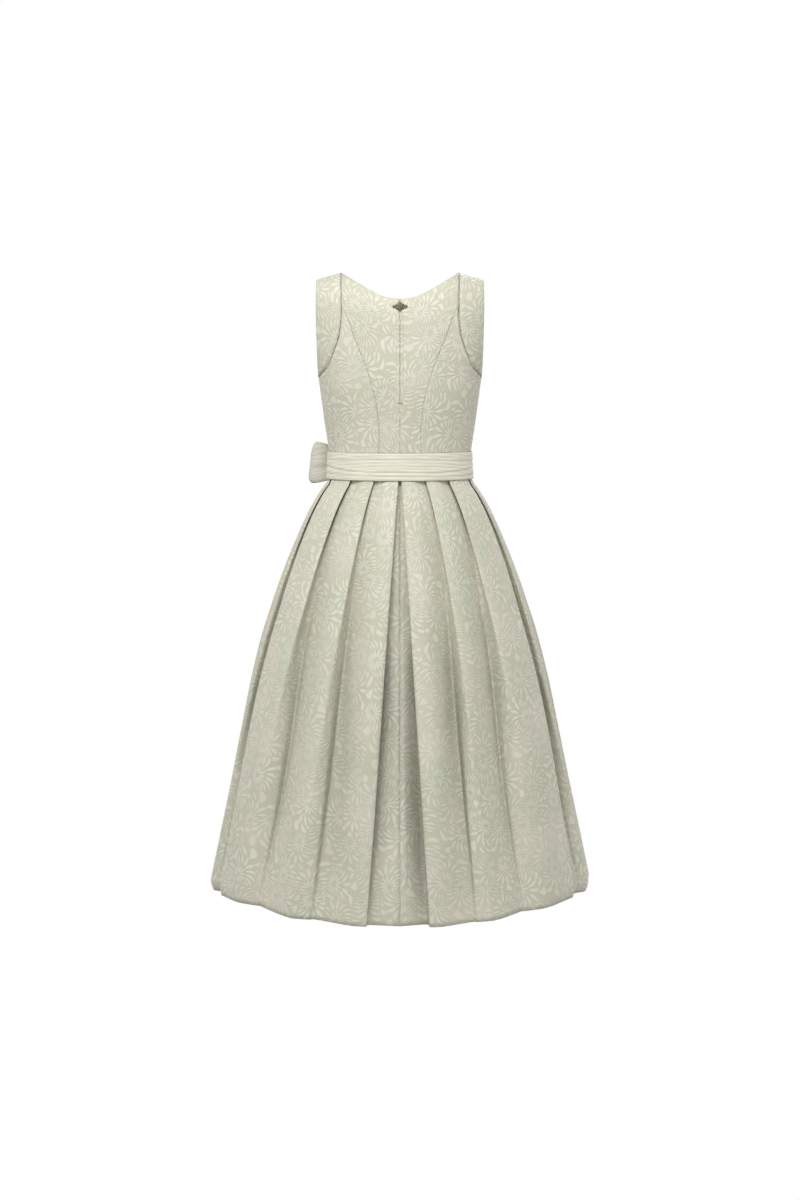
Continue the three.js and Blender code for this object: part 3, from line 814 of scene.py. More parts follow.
def rounded(run: np.ndarray, parts: int) -> np.ndarray:
    """Draws a smooth line through the points of a run.

    Args:
        run: The points, whose first three numbers are the place.
        parts: Steps from one point to the next.

    Returns:
        The line's points, the given ones among them.
    """
    shortest = 1e-6
    ahead = np.concatenate([2 * run[:1] - run[1:2], run, 2 * run[-1:] - run[-2:-1]])
    chord = np.linalg.norm(np.diff(ahead[:, :3], axis=0), axis=1)
    gap = np.maximum(chord, shortest) ** 0.5
    made = []
    for i in range(len(run) - 1):
        p0, p1, p2, p3 = ahead[i : i + 4]
        g0, g1, g2 = gap[i : i + 3]
        m1 = (p1 - p0) / g0 - (p2 - p0) / (g0 + g1) + (p2 - p1) / g1
        m2 = (p2 - p1) / g1 - (p3 - p1) / (g1 + g2) + (p3 - p2) / g2
        for k in range(parts):
            s = k / parts
            keep = 2 * s**3 - 3 * s**2 + 1
            start = (s**3 - 2 * s**2 + s) * g1
            end = (s**3 - s**2) * g1
            made.append(keep * p1 + (1 - keep) * p2 + start * m1 + end * m2)
    made.append(run[-1])
    return np.array(made)


@dataclass(frozen=True)
class Cut:
    """How a piece's cloth is cut and held.

    Args:
        width, length: The cut's size in metres.
        held: How it is held; nothing uses it.
        rests_on: Names of what carries it; nothing uses it.
    """

    width: float
    length: float
    held: Held
    rests_on: tuple[str, ...] = ()


@dataclass(frozen=True)
class Cloth:
    """A kind of cloth as it is sewn into a piece.

    Args:
        slot: Its material slot.
        thickness: Its thickness.
        offset: Where the thickness lies, from -1 behind the grid to 0 half on each side.
    """

    slot: Slot
    thickness: float
    offset: float = -1.0


class Wardrobe:
    """Keeps the finishes, and logs each piece that is dressed."""

    # Darker ribs and grooves for the bow's cloth: painted shade, as if the whole bow lay in shade.
    SHADED_BOW_RIB = shade(212, 210, 197)
    SHADED_BOW_GROOVE = shade(173, 171, 157)
    LEAST_SHARE = 0.31

    def __init__(self) -> None:
        """Makes the finishes."""
        # The bow's finish is a darker copy of the ribbed cloth, with painted shade for the bow.
        turned = RibbedFinish(rib=self.SHADED_BOW_RIB, groove=self.SHADED_BOW_GROOVE)
        self.finishes = {
            Slot.JACQUARD: JacquardFinish().material(),
            Slot.APRON: RibbedFinish().material("ribbed_cloth"),
            Slot.METAL: AgedMetalFinish().material(),
        }
        self.turned = turned.material("shaded_bow_cloth")

    def wear(
        self, piece: bpy.types.Object, slot: Slot, nodes: Iterable[str] = ()
    ) -> bpy.types.Object:
        """Gives a piece its finish, ties it to the frame and reports it.

        Args:
            piece: The object.
            slot: The material slot.
            nodes: The CAD nodes that it stands for.

        Returns:
            The object.
        """
        piece.data.materials.clear()
        piece.data.materials.append(self.finishes[slot])
        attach(piece, "root")
        if nodes:
            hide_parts(*nodes)
        LOG.info("%s: %s, %d faces", piece.name, slot.value, len(piece.data.polygons))
        return piece

    def sew(self, grid: ClothGrid, node: str, cloth: Cloth, cut: Cut) -> bpy.types.Object:
        """Builds a piece of cloth in place of its CAD node.

        Args:
            grid: The cloth's shape.
            node: The CAD node that it stands for, which names it too.
            cloth: What it is sewn from.
            cut: How it was cut and is held.

        Returns:
            The object.
        """
        piece = grid.build(f"cloth_{node}", cloth.thickness, cloth.offset)
        self.wear(piece, cloth.slot, [node])
        whole = cut.width * cut.length
        share = clamp(grid.area(), self.LEAST_SHARE * cut.width * cut.length, whole)
        return piece


# The bodice


@dataclass(frozen=True)
class Bust:
    """One side of the bust, as a soft bulge.

    Args:
        x, z: Its distance from the centre line, and its height.
        bulge: How far it stands out.
        wide, high: Its spread across, and up and down.
    """

    x: float = 70
    z: float = -232
    bulge: float = 9
    wide: float = 44
    high: float = 58


@dataclass
class TorsoForm:
    """The hollow form of the bodice, as a section at each height.

    Args:
        waist, sash_top, underarm: Their heights.
        shoulder, roundness: Height where the shoulder starts to round over, and its curve's power.
        waist_square, chest_square: The section's power at the sash and at the underarm, 2 for an ellipse.
        strap_inner, strap_outer: Edges of a strap's top.
        drop: How far the shoulder falls across a strap.
        bust: The bust.
        nudge: Angle between the points that the direction out is worked out from.
        arc_steps: Steps in which a length of cloth is measured.
        table: Height, half width, depth of the back and depth of the front.
    """

    waist: float = -353
    sash_top: float = -328
    underarm: float = -190
    shoulder: float = -110
    roundness: float = 2.6
    waist_square: float = 2
    chest_square: float = 2.4
    strap_inner: float = 108
    strap_outer: float = 153.5
    drop: float = 13
    bust: Bust = Bust()
    nudge: float = 0.004
    arc_steps: int = 12
    table: Table = Table((
        (0, 178, 108, 96),
        (-50, 176, 108, 96),
        (-110, 171, 108, 98),
        (-150, 163, 109, 112),
        (-190, 151, 109, 124),
        (-232, 145, 106, 128),
        (-280, 138.5, 102, 113),
        (-328, 131.6, 99.5, 99.5),
        (-353, 129.9, 97.9, 97.9),
    ))

    def __post_init__(self) -> None:
        """Reads the table's columns."""
        self.width = self.table.column(1)
        self.depth = {Face.BACK: self.table.column(2), Face.FRONT: self.table.column(3)}

    def squareness(self, z: float) -> float:
        """Gives how square the section is, from 2 for an ellipse."""
        rise = smoothstep(z, self.sash_top, self.underarm)
        return lerp(self.waist_square, self.chest_square, rise)

    def rise(self, value: float) -> float:
        """Gives how far up the shoulder a height or level is, from 0 to 1."""
        return clamp((value - self.shoulder) / -self.shoulder, 0, 1)

    def level(self, z: float) -> float:
        """Turns a height into a level, which is spaced evenly round the shoulder."""
        turn = math.asin(self.rise(z) ** (self.roundness / 2))
        return z if z <= self.shoulder else self.shoulder - self.shoulder * turn / (math.pi / 2)

    def height(self, level: float) -> float:
        """Turns a level back into a height."""
        lift = math.sin(self.rise(level) * math.pi / 2) ** (2 / self.roundness)
        return level if level <= self.shoulder else self.shoulder - self.shoulder * lift

    def angle(self, x: float, z: float) -> float:
        """Gives the section's angle at a distance from the centre line."""
        return math.asin(clamp(x / self.width(z), 0, 1) ** (self.squareness(z) / 2))

    def point(self, angle: float, level: float, face: Face, out: float = 0.0) -> Vector:
        """Gives a point of the form on the wearer's left.

        Args:
            angle: Angle from the centre line.
            level: The level.
            face: Back or front.
            out: How far it is set out from the form.

        Returns:
            The point.
        """
        z = self.height(level)
        power = 2 / self.squareness(z)
        x = self.width(z) * max(math.sin(angle), 0) ** power
        over = max(math.cos(self.rise(level) * math.pi / 2), 0) ** (2 / self.roundness)
        y = self.depth[face](z) * over * max(math.cos(angle), 0) ** power
        if face is Face.FRONT:
            bust = self.bust
            spread = ((x - bust.x) / bust.wide) ** 2 + ((z - bust.z) / bust.high) ** 2
            y += bust.bulge * math.exp(-spread) * math.cos(angle)
        beyond = clamp((x - self.strap_inner) / (self.strap_outer - self.strap_inner), 0, 2)
        z -= self.drop * beyond * smoothstep(z, 2 * self.shoulder / 3, 0)
        made = Vector((x, -y if face is Face.FRONT else y, z))
        if out:
            made += self.normal(angle, level, face) * out
        return made

    def arc(self, x: float, z: float, face: Face) -> float:
        """Gives the length of cloth from the centre line to a distance beside it.

        Args:
            x: The distance.
            z: The height.
            face: Back or front.

        Returns:
            The length.
        """
        turns = steps(0, self.angle(x, z), self.arc_steps)
        run = [self.point(angle, self.level(z), face) for angle in turns]
        return sum((b - a).length for a, b in zip(run, run[1:]))

    def normal(self, angle: float, level: float, face: Face) -> Vector:
        """Gives the direction straight out of the form at a point.

        Args:
            angle: Angle from the centre line.
            level: The level.
            face: Back or front.

        Returns:
            The direction, of length 1.
        """
        low = self.point(max(angle - self.nudge, 0), level, face)
        high = self.point(min(angle + self.nudge, math.pi / 2), level, face)
        below = self.point(angle, level - 1, face)
        above = self.point(angle, min(level + 1, 0), face)
        turned = (above - below).cross(high - low).normalized()
        return -turned if face is Face.FRONT else turned

    def back_spot(self, x: float, z: float, out: float) -> Point:
        """Gives a point set out from the back, on either side of the centre line.

        Args:
            x: Distance from the centre line, negative on the wearer's right.
            z: The height.
            out: How far it is set out from the form.

        Returns:
            The point.
        """
        spot = self.point(self.angle(abs(x), z), self.level(z), Face.BACK, out)
        return (math.copysign(spot.x, x), spot.y, spot.z)


@dataclass(frozen=True)
class PanelRelief:
    """The slight relief of a bodice panel beside its seams and over its middle.

    Args:
        seam_reach: How far from a seam its dip starts.
        pucker, pucker_fade: Height of the puckers beside a seam, and how far from it they fade out.
        pucker_length, pucker_drift: Length of a pucker in a radian, and over which they vary.
        soft: Height of the broad unevenness.
        soft_across, soft_along: Its wavelengths across and down the panel.
        soft_edge: Share of the width next to a seam that keeps some of it.
    """

    seam_reach: float = 2.6
    pucker: float = 0.28
    pucker_fade: float = 9
    pucker_length: float = 3.1
    pucker_drift: float = 60
    soft: float = 0.9
    soft_across: float = 120
    soft_along: float = 150
    soft_edge: float = 0.02

    def out(self, u: float, wide: float, z: float, seed: int) -> float:
        """Gives how far the cloth stands out at a place.

        Args:
            u: Share of the way across the panel.
            wide: The panel's width there.
            z: The height.
            seed: Picks the panel's own unevenness.

        Returns:
            The distance out.
        """
        to_seam = min(u, 1 - u) * wide
        pucker = self.pucker * math.exp(-to_seam / self.pucker_fade)
        pucker *= math.sin(z / self.pucker_length + seed)
        pucker *= ripple(z / self.pucker_drift, 0, seed)
        soft = self.soft * ripple(u * wide / self.soft_across, z / self.soft_along, seed)
        soft *= math.sin(math.pi * clamp(u, self.soft_edge, 1 - self.soft_edge))
        return soft + pucker


@dataclass(frozen=True)
class Panel:
    """The plan of one bodice panel.

    Args:
        name: Its CAD node's name without the side.
        face: Back or front.
        reach: Lowest and highest level.
        inner, outer: Distances of its edges from the centre line, over the height.
        sinks: How deep these edges dip into their seams.
        seed: Picks the panel's slight unevenness.
        size: Width and length of its cut, in metres.
        top, bottom: Heights of its other edges across the panel, where they aren't level.
    """

    name: str
    face: Face
    reach: Place
    inner: Edge
    outer: Edge
    sinks: Place
    seed: int
    size: Place
    top: Edge | None = None
    bottom: Edge | None = None


@dataclass
class Bodice:
    """The bodice's nine panels with their sunk seams.

    Args:
        form: The hollow form.
        relief: The panels' relief.
        rows, columns: Size of a panel's grid.
        centre_sink, princess_sink, armhole_sink, strap_sink: How deep the back's seams and edges dip.
        front_sink, front_centre_sink: How deep the front's side and middle panels dip at their edges.
        side_sink: How deep a side seam is at most.
        side_zone: Height over which an armhole seam's depth changes to the side seam's.
        calm: Levels between which the relief fades out towards the shoulder's top.
        top_level: Highest level of any panel.
        weave_shift: How far the weave is moved from panel to panel, along and down.
        meeting: Height where the princess seam meets the armhole seam.
        neck_dip, neck_round, neck_slope: The back neckline's fall, its rounded half and its slope.
        front_corner, front_dip: Height of the front neckline's corners, and its fall between them.
        underarm_zone: Reach round the underarm in which the side seam turns into the armhole.
        side_width: Distance of the side seam from the centre line at the underarm.
        strap_rise: Height over which a strap's outer edge widens.
        strap_start, strap_slant: How far over the underarm a strap starts, and its lower edge's slant.
        back_seams: Height, and distances of the princess and the armhole seam.
        front_edges: Height, and distances of the princess seam and the armhole.
    """

    form: TorsoForm = field(default_factory=TorsoForm)
    relief: PanelRelief = PanelRelief()
    rows: int = 104
    columns: int = 26
    centre_sink: float = 0.7
    princess_sink: float = 0.15
    armhole_sink: float = 3.4
    strap_sink: float = 0.3
    front_sink: float = 0.4
    front_centre_sink: float = 0.5
    side_sink: float = 0.2
    side_zone: float = 5
    calm: Place = (-20, -3)
    top_level: float = -0.03
    weave_shift: Place = (61, 37)
    meeting: float = -64
    neck_dip: float = 48.5
    neck_round: float = 31
    neck_slope: float = 0.53
    front_corner: float = -150
    front_dip: float = 14
    underarm_zone: Place = (-8, 3)
    side_width: float = 151
    strap_rise: float = 120
    strap_start: float = 3
    strap_slant: float = 7
    back_seams: Table = Table((
        (0, 107.5, 107.5),
        (-64, 106.5, 106.5),
        (-66, 105, 106.6),
        (-81, 97, 107.5),
        (-111, 86, 111),
        (-150, 70, 124),
        (-173, 61, 134),
        (-190, 55.5, 147),
        (-244, 41.6, 151),
        (-300, 37, 151),
        (-353, 40, 151),
    ))
    front_edges: Table = Table((
        (0, 108, 153.5),
        (-60, 102, 147),
        (-110, 93, 139),
        (-150, 84, 142),
        (-190, 80, 151),
        (-232, 76, 151),
        (-300, 55, 151),
        (-353, 46, 151),
    ))

    def __post_init__(self) -> None:
        """Reads the seams' columns."""
        self.princess, self.armhole = self.back_seams.column(1), self.back_seams.column(2)
        self.front_inner, self.front_armhole = map(self.front_edges.column, (1, 2))

    def neckline(self, x: float) -> float:
        """Gives the height of the back neckline at a distance from the centre."""
        flat = self.neck_slope / (2 * self.neck_round) * min(x, self.neck_round) ** 2
        return min(flat + self.neck_slope * max(x - self.neck_round, 0) - self.neck_dip, 0)

    def centre_outer(self, z: float) -> float:
        """Gives the outer edge of a back centre panel."""
        return self.princess(z) if z < self.meeting else self.armhole(z)

    def strap_outer(self, z: float) -> float:
        """Gives the outer edge of a strap."""
        share = clamp((z - self.form.underarm) / self.strap_rise, 0, 1)
        return lerp(self.side_width, self.form.strap_outer, share)

    def round_underarm(self, edge: Edge) -> Edge:
        """Lets the side seam run over into an armhole edge above it.

        Args:
            edge: The armhole's distance from the centre line, over the height.

        Returns:
            The joined edge.
        """
        form = self.form
        low, high = self.underarm_zone

        def at(z: float) -> float:
            """Gives the joined edge's distance from the centre line.

            Args:
                z: The height.

            Returns:
                The distance.
            """
            share = smoothstep(z, form.underarm + low, form.underarm + high)
            angle = lerp(math.pi / 2, form.angle(edge(z), z), share)
            return form.width(z) * math.sin(angle) ** (2 / form.squareness(z))

        return at

    def level(self, plan: Panel, u: float, share: float) -> float:
        """Gives the level of a panel's point.

        Args:
            plan: The panel.
            u: Share of the way across.
            share: Share of the way up.

        Returns:
            The level.
        """
        low, high = plan.reach
        level = lerp(low, high, share)
        if plan.top:
            level += (self.form.level(plan.top(u)) - high) * share**3
        if plan.bottom:
            level += (plan.bottom(u) - low) * (1 - share) ** 5
        return min(level, self.top_level)

    def out(self, plan: Panel, u: float, level: float, wide: float) -> float:
        """Gives how far a panel's point lies out from the form.

        Args:
            plan: The panel.
            u: Share of the way across.
            level: The level.
            wide: The panel's width there.

        Returns:
            The distance out, negative in a seam.
        """
        z = self.form.height(level)
        inner, outer = plan.sinks
        side = self.form.underarm
        above = smoothstep(z, side - self.side_zone, side + self.side_zone)
        deep = inner if u < 0.5 else lerp(min(outer, self.side_sink), outer, above)
        sink = deep * bump(min(u, 1 - u) * wide, self.relief.seam_reach)
        calm = 1 - smoothstep(level, *self.calm)
        return self.relief.out(u, wide, z, plan.seed) * calm - sink

    def panel(self, plan: Panel, side: Side) -> ClothGrid:
        """Shapes one panel.

        Args:
            plan: The panel.
            side: The wearer's side.

        Returns:
            The panel's grid.
        """
        form = self.form
        points: list[list[Point]] = []
        starts: list[float] = []
        for share in steps(0, 1, self.rows):
            row = []
            for u in steps(0, 1, self.columns):
                level = self.level(plan, u, share)
                z = form.height(level)
                near, far = plan.inner(z), plan.outer(z)
                angle = lerp(form.angle(near, z), form.angle(far, z), u)
                out = self.out(plan, u, level, max(far - near, 1.0))
                spot = form.point(angle, level, plan.face, out)
                row.append((spot.x * side.value, spot.y, spot.z))
            starts.append(form.arc(abs(row[0][0]), z, plan.face))
            points.append(row)
        middle = self.columns // 2
        along, down = (shift * plan.seed for shift in self.weave_shift)
        flat = [
            [(side.value * (start + u) + along, row[middle][1] + down) for u, _ in row]
            for start, row in zip(starts, unroll(points))
        ]
        grid = ClothGrid(points, flat)
        return grid.turned() if (side is Side.RIGHT) != (plan.face is Face.FRONT) else grid

    def front_centre(self) -> ClothGrid:
        """Shapes the middle panel of the front, which runs across both sides.

        Returns:
            The panel's grid.
        """
        points: list[list[Point]] = []
        for share in steps(0, 1, self.rows // 2):
            row = []
            for u in steps(-1, 1, 2 * self.columns):
                top = self.front_corner - self.front_dip * math.cos(u * math.pi / 2)
                level = lerp(self.form.waist, top, share)
                angle = abs(u) * self.form.angle(self.front_inner(level), level)
                to_seam = (1 - abs(u)) * self.front_inner(level)
                sink = self.front_centre_sink * bump(to_seam, self.relief.seam_reach)
                spot = self.form.point(angle, level, Face.FRONT, -sink)
                row.append((math.copysign(spot.x, u), spot.y, spot.z))
            points.append(row[::-1])
        return ClothGrid(points, unroll(points)).turned()

    def plans(self) -> list[Panel]:
        """Lists the panels of one side.

        Returns:
            Their plans, from the centre back to the front.
        """
        form = self.form
        strap_low = form.underarm + self.strap_start
        return [
            Panel(
                "back_centre", Face.BACK, (form.waist, 0), lambda z: 0.0, self.centre_outer,
                (self.centre_sink, self.princess_sink), 3, (0.13, 0.38),
                top=lambda u: self.neckline(u * form.strap_inner),
            ),
            Panel(
                "back_side", Face.BACK, (form.waist, form.level(self.meeting - 1)),
                self.princess, self.round_underarm(self.armhole),
                (self.princess_sink, self.armhole_sink), 5, (0.14, 0.31),
            ),
            Panel(
                "back_armhole", Face.BACK, (strap_low, 0), self.armhole, self.strap_outer,
                (self.armhole_sink, self.strap_sink), 7, (0.07, 0.25),
                bottom=lambda u: strap_low - self.strap_slant * u,
            ),
            Panel(
                "front_side", Face.FRONT, (form.waist, 0),
                self.front_inner, self.round_underarm(self.front_armhole),
                (self.front_sink, self.front_sink), 9, (0.14, 0.40),
            ),
        ]

    def build(self, wardrobe: Wardrobe) -> None:
        """Builds and dresses the panels.

        Args:
            wardrobe: Dresses them.
        """
        cloth = Cloth(Slot.JACQUARD, 1.2)
        for side in Side:
            for plan in self.plans():
                cut = Cut(*plan.size, Held.STRETCHED)
                wardrobe.sew(
                    self.panel(plan, side), f"{plan.name}_{side.name.lower()}", cloth, cut
                )
        cut = Cut(0.18, 0.22, Held.STRETCHED)
        wardrobe.sew(self.front_centre(), "front_centre", cloth, cut)


# The skirt


@dataclass(frozen=True)
class Pleat:
    """One fold of the skirt.

    Args:
        waist, hem: Angles of its edge there, in degrees from the centre back.
        faces: 1 if its edge faces the centre back, and -1 if it faces away.
        overlap, open_z: How far it covers its underlay at the waist, and the height where that ends.
        hem_slope: How wide its slope is at the hem.
    """

    waist: float
    hem: float
    faces: int
    overlap: float
    open_z: float
    hem_slope: float


@dataclass(frozen=True)
class Bend:
    """Where the cloth between two folds starts or ends its rise to the next one.

    Args:
        most: Its greatest distance from the fold.
        share: Its distance as a share of the room, where that is less.
        spare: Share of the spare room that it is moved by.
        rise: How much of the rise is done there.
    """

    most: float
    share: float
    spare: float
    rise: float


@dataclass
class SkirtForm:
    """The pleated section of the skirt at each height.

    Args:
        waist, hem: Heights of the waist seam and of the hem at the centre.
        waist_flatness, hem_flatness: How much less deep than wide the half section is there.
        hem_rise, hem_rise_reach: How much the hem rises at the sides, and up to which angle in degrees.
        side_calm, side_tuck: How much lower the folds, and shallower the valleys, are at the sides.
        centre_tuck: How much deeper the inverted pleat's underlay lies at the waist.
        drift_power: Power of the pleats' turn from their waist angle to their hem angle.
        overlap_power: Power of the overlap's growth up to the waist.
        soften: How far a slope is eased into its ridge and valley.
        room: Room between two folds that is never spare.
        leave, reach: Where the cloth leaves a fold, and where it reaches the next one.
        tucks: Height, and how much deeper than the solid's the valleys lie.
        table: Height, half width of the valleys and height of the ridges.
        left, right: Pleats of the wearer's left and right, from the centre back to the front.
    """

    waist: float = -353
    hem: float = -1150
    waist_flatness: float = 32
    hem_flatness: float = 28
    hem_rise: float = 16.5
    hem_rise_reach: float = 124
    side_calm: float = 0.6
    side_tuck: float = 0.7
    centre_tuck: float = 3
    drift_power: float = 0.6
    overlap_power: float = 1.3
    soften: float = 0.6
    room: float = 8
    leave: Bend = Bend(2.5, 0.3, 0.2, 0.08)
    reach: Bend = Bend(4, 0.4, 0.16, 0.9)
    tucks: Table = Table(
        ((-353, 3), (-480, 6), (-650, 15), (-800, 18), (-950, 17), (-1150, 6))
    )
    table: Table = Table((
        (-353, 128.2, 3.4),
        (-378, 130.4, 3.4),
        (-405, 146.5, 4.6),
        (-438, 163.8, 6.4),
        (-494, 187, 9),
        (-550, 206.7, 12),
        (-610, 225, 15),
        (-680, 246.2, 17),
        (-760, 267.2, 17.5),
        (-850, 287.9, 17),
        (-940, 308.3, 15.5),
        (-1040, 331.2, 14),
        (-1150, 355.2, 13),
    ))
    left: tuple[Pleat, ...] = (
        Pleat(0.3, 9.4, 1, 14, -1000, 6),
        Pleat(20, 31, 1, 14, -470, 34),
        Pleat(42, 53, 1, 14, -580, 40),
        Pleat(70, 66, -1, 9, -620, 20),
        Pleat(74, 77, 1, 5, -560, 20),
        Pleat(98, 97, 1, 4.5, -540, 38),
        Pleat(125, 124, 1, 8, -540, 38),
        Pleat(152, 152, 1, 8, -570, 38),
    )
    right: tuple[Pleat, ...] = (
        Pleat(0.3, 8.2, 1, 14, -1000, 6),
        Pleat(20.5, 26.5, 1, 14, -500, 34),
        Pleat(42.4, 44.5, 1, 14, -560, 38),
        Pleat(70, 62, -1, 9, -600, 20),
        Pleat(74, 73, 1, 5, -580, 20),
        Pleat(98, 95, 1, 4.5, -560, 38),
        Pleat(125, 124, 1, 8, -540, 38),
        Pleat(152, 152, 1, 8, -580, 38),
    )

    def __post_init__(self) -> None:
        """Reads the tables' columns."""
        self.width, self.full_ridge = self.table.column(1), self.table.column(2)
        self.tuck = self.tucks.column(1)

    def down(self, z: float) -> float:
        """Gives how far down the skirt a height is, from 0 to 1."""
        return clamp((self.waist - z) / (self.waist - self.hem), 0, 1)

    def depth(self, z: float) -> float:
        """Gives the half depth of the valleys."""
        return self.width(z) - lerp(self.waist_flatness, self.hem_flatness, self.down(z))

    def ridge(self, angle: float, z: float) -> float:
        """Gives how high the folds stand. They flatten out at the sides of the hem."""
        return self.full_ridge(z) * (1 - self.side_calm * self.down(z) ** 2 * math.sin(angle) ** 4)

    def point(self, angle: float, out: float, z: float) -> Point:
        """Gives a point set out from the valleys' ellipse.

        Args:
            angle: Angle from the centre back.
            out: How far it is set out.
            z: The height, before the hem's rise.

        Returns:
            The point.
        """
        wide, deep = self.width(z), self.depth(z)
        nx, ny = math.sin(angle) / wide, math.cos(angle) / deep
        size = out / math.hypot(nx, ny)
        share = min(abs(angle) / math.radians(self.hem_rise_reach), 1)
        rise = self.hem_rise * math.sin(share * math.pi) ** 3 * self.down(z) ** 3
        x, y = wide * math.sin(angle) + nx * size, deep * math.cos(angle) + ny * size
        return (x, y, z + rise)

    def metric(self, angle: float, z: float) -> float:
        """Gives the millimetres of cloth for each radian."""
        return math.hypot(self.width(z) * math.cos(angle), self.depth(z) * math.sin(angle))

    def slope(self, pleat: Pleat, z: float) -> float:
        """Gives the width of a fold's slope.

        Args:
            pleat: The fold.
            z: The height.

        Returns:
            The width, negative where the fold covers its underlay.
        """
        if z > pleat.open_z:
            above = (z - pleat.open_z) / (self.waist - pleat.open_z)
            return -pleat.overlap * above**self.overlap_power
        return pleat.hem_slope * (pleat.open_z - z) / (pleat.open_z - self.hem)

    def fold(self, slope: float, ridge: float) -> list[Place]:
        """Gives the six points of a fold, from its valley up to its ridge.

        Args:
            slope: Width of the fold's slope.
            ridge: Height of the ridge.

        Returns:
            Pairs of distance along from the edge, and distance out.
        """
        softened = self.soften * max(slope, 0)
        radius = (ridge**2 + softened**2) / (4 * ridge)
        straight = math.sqrt(max((ridge - 2 * radius) ** 2 + slope**2 - 4 * radius**2, 0))
        lean = math.atan2(ridge - 2 * radius, slope) + math.atan2(2 * radius, straight)
        start = radius * math.sin(min(lean, math.pi / 2))
        lower = [
            (start - slope + radius * math.sin(t), radius - radius * math.cos(t))
            for t in (0, lean / 2, lean)
        ]
        upper = [
            (start - radius * math.sin(t), ridge - radius + radius * math.cos(t))
            for t in (lean, lean / 2, 0)
        ]
        return lower + upper

    def half(self, pleats: Sequence[Pleat], z: float) -> list[tuple[float, float, bool]]:
        """Gives half of a section, from the centre back to the centre front.

        Args:
            pleats: The side's pleats.
            z: The height.

        Returns:
            Rows of angle, distance out, and whether the point is a fold's edge.
        """
        folds = []
        for pleat in pleats:
            share = self.down(z) ** self.drift_power
            angle = math.radians(lerp(pleat.waist, pleat.hem, share))
            sunk = self.tuck(z) * (1 - self.side_tuck * math.sin(angle) ** 4)
            fold = self.fold(self.slope(pleat, z), self.ridge(angle, z))
            points = [
                (along, out - sunk * clamp(1 - i / 3, 0, 1)) for i, (along, out) in enumerate(fold)
            ]
            reach = max(along for along, _ in points)
            if pleat.faces > 0:
                folds.append((angle, points, 0.0, reach, 4))
            else:
                turned = [(-along, out) for along, out in points][::-1]
                folds.append((angle, turned, reach, 0.0, 1))
        ridge = self.full_ridge(z)
        folds.append((math.pi, [(0.0, ridge)], 0.0, 0.0, 0))
        made = [(0.0, -(self.tuck(z) + self.centre_tuck) * (1 - self.down(z)), True)]
        for fold, after in zip(folds, folds[1:]):
            angle, points, _, clear, edge = fold
            metric = self.metric(angle, z)
            length = (after[0] - angle) * metric
            first = max(points[-1][0], clear)
            last = min(length + after[1][0][0], length - after[2])
            between = self.between(first, last, points[-1][1], after[1][0][1])
            for i, (along, out) in enumerate([*points, *between]):
                made.append((angle + along / metric, out, i == edge))
        made.append((math.pi, ridge, True))
        return made

    def between(self, first: float, last: float, start: float, end: float) -> list[Place]:
        """Gives the two bends of the cloth between two folds.

        Args:
            first: Where the cloth leaves the one fold, along the section.
            last: Where it reaches the next one.
            start: Its distance out at the one fold.
            end: Its distance out at the next one.

        Returns:
            Pairs of distance along and distance out.
        """
        room = last - first
        spare = max(room - self.room, 0)
        a, b = self.leave, self.reach
        early = first + min(a.most, a.share * room) + a.spare * spare
        late = last - min(b.most, b.share * room) - b.spare * spare
        return [(early, lerp(start, end, a.rise)), (late, lerp(start, end, b.rise))]

    def section(self, z: float) -> tuple[np.ndarray, list[bool]]:
        """Gives the whole section at a height.

        Args:
            z: The height.

        Returns:
            Its points from the centre back round by the wearer's left, and which are edges.
        """
        left = self.half(self.left, z)
        right = [(-angle, out, edge) for angle, out, edge in self.half(self.right, z)]
        ring = left + right[1:-1][::-1]
        points = np.array([self.point(angle, out, z) for angle, out, _ in ring])
        return points, [edge for _, _, edge in ring]


@dataclass(frozen=True)
class Wave:
    """A smooth irregular wave in cloth.

    Args:
        height: Its height.
        across, along: Its wavelengths across and down the cloth.
        seed: Picks the wave.
    """

    height: float
    across: float
    along: float
    seed: int

    def at(self, u: float, v: float) -> float:
        """Gives the wave at a place, from about -1 to 1."""
        return ripple(u / self.across, v / self.along, self.seed)


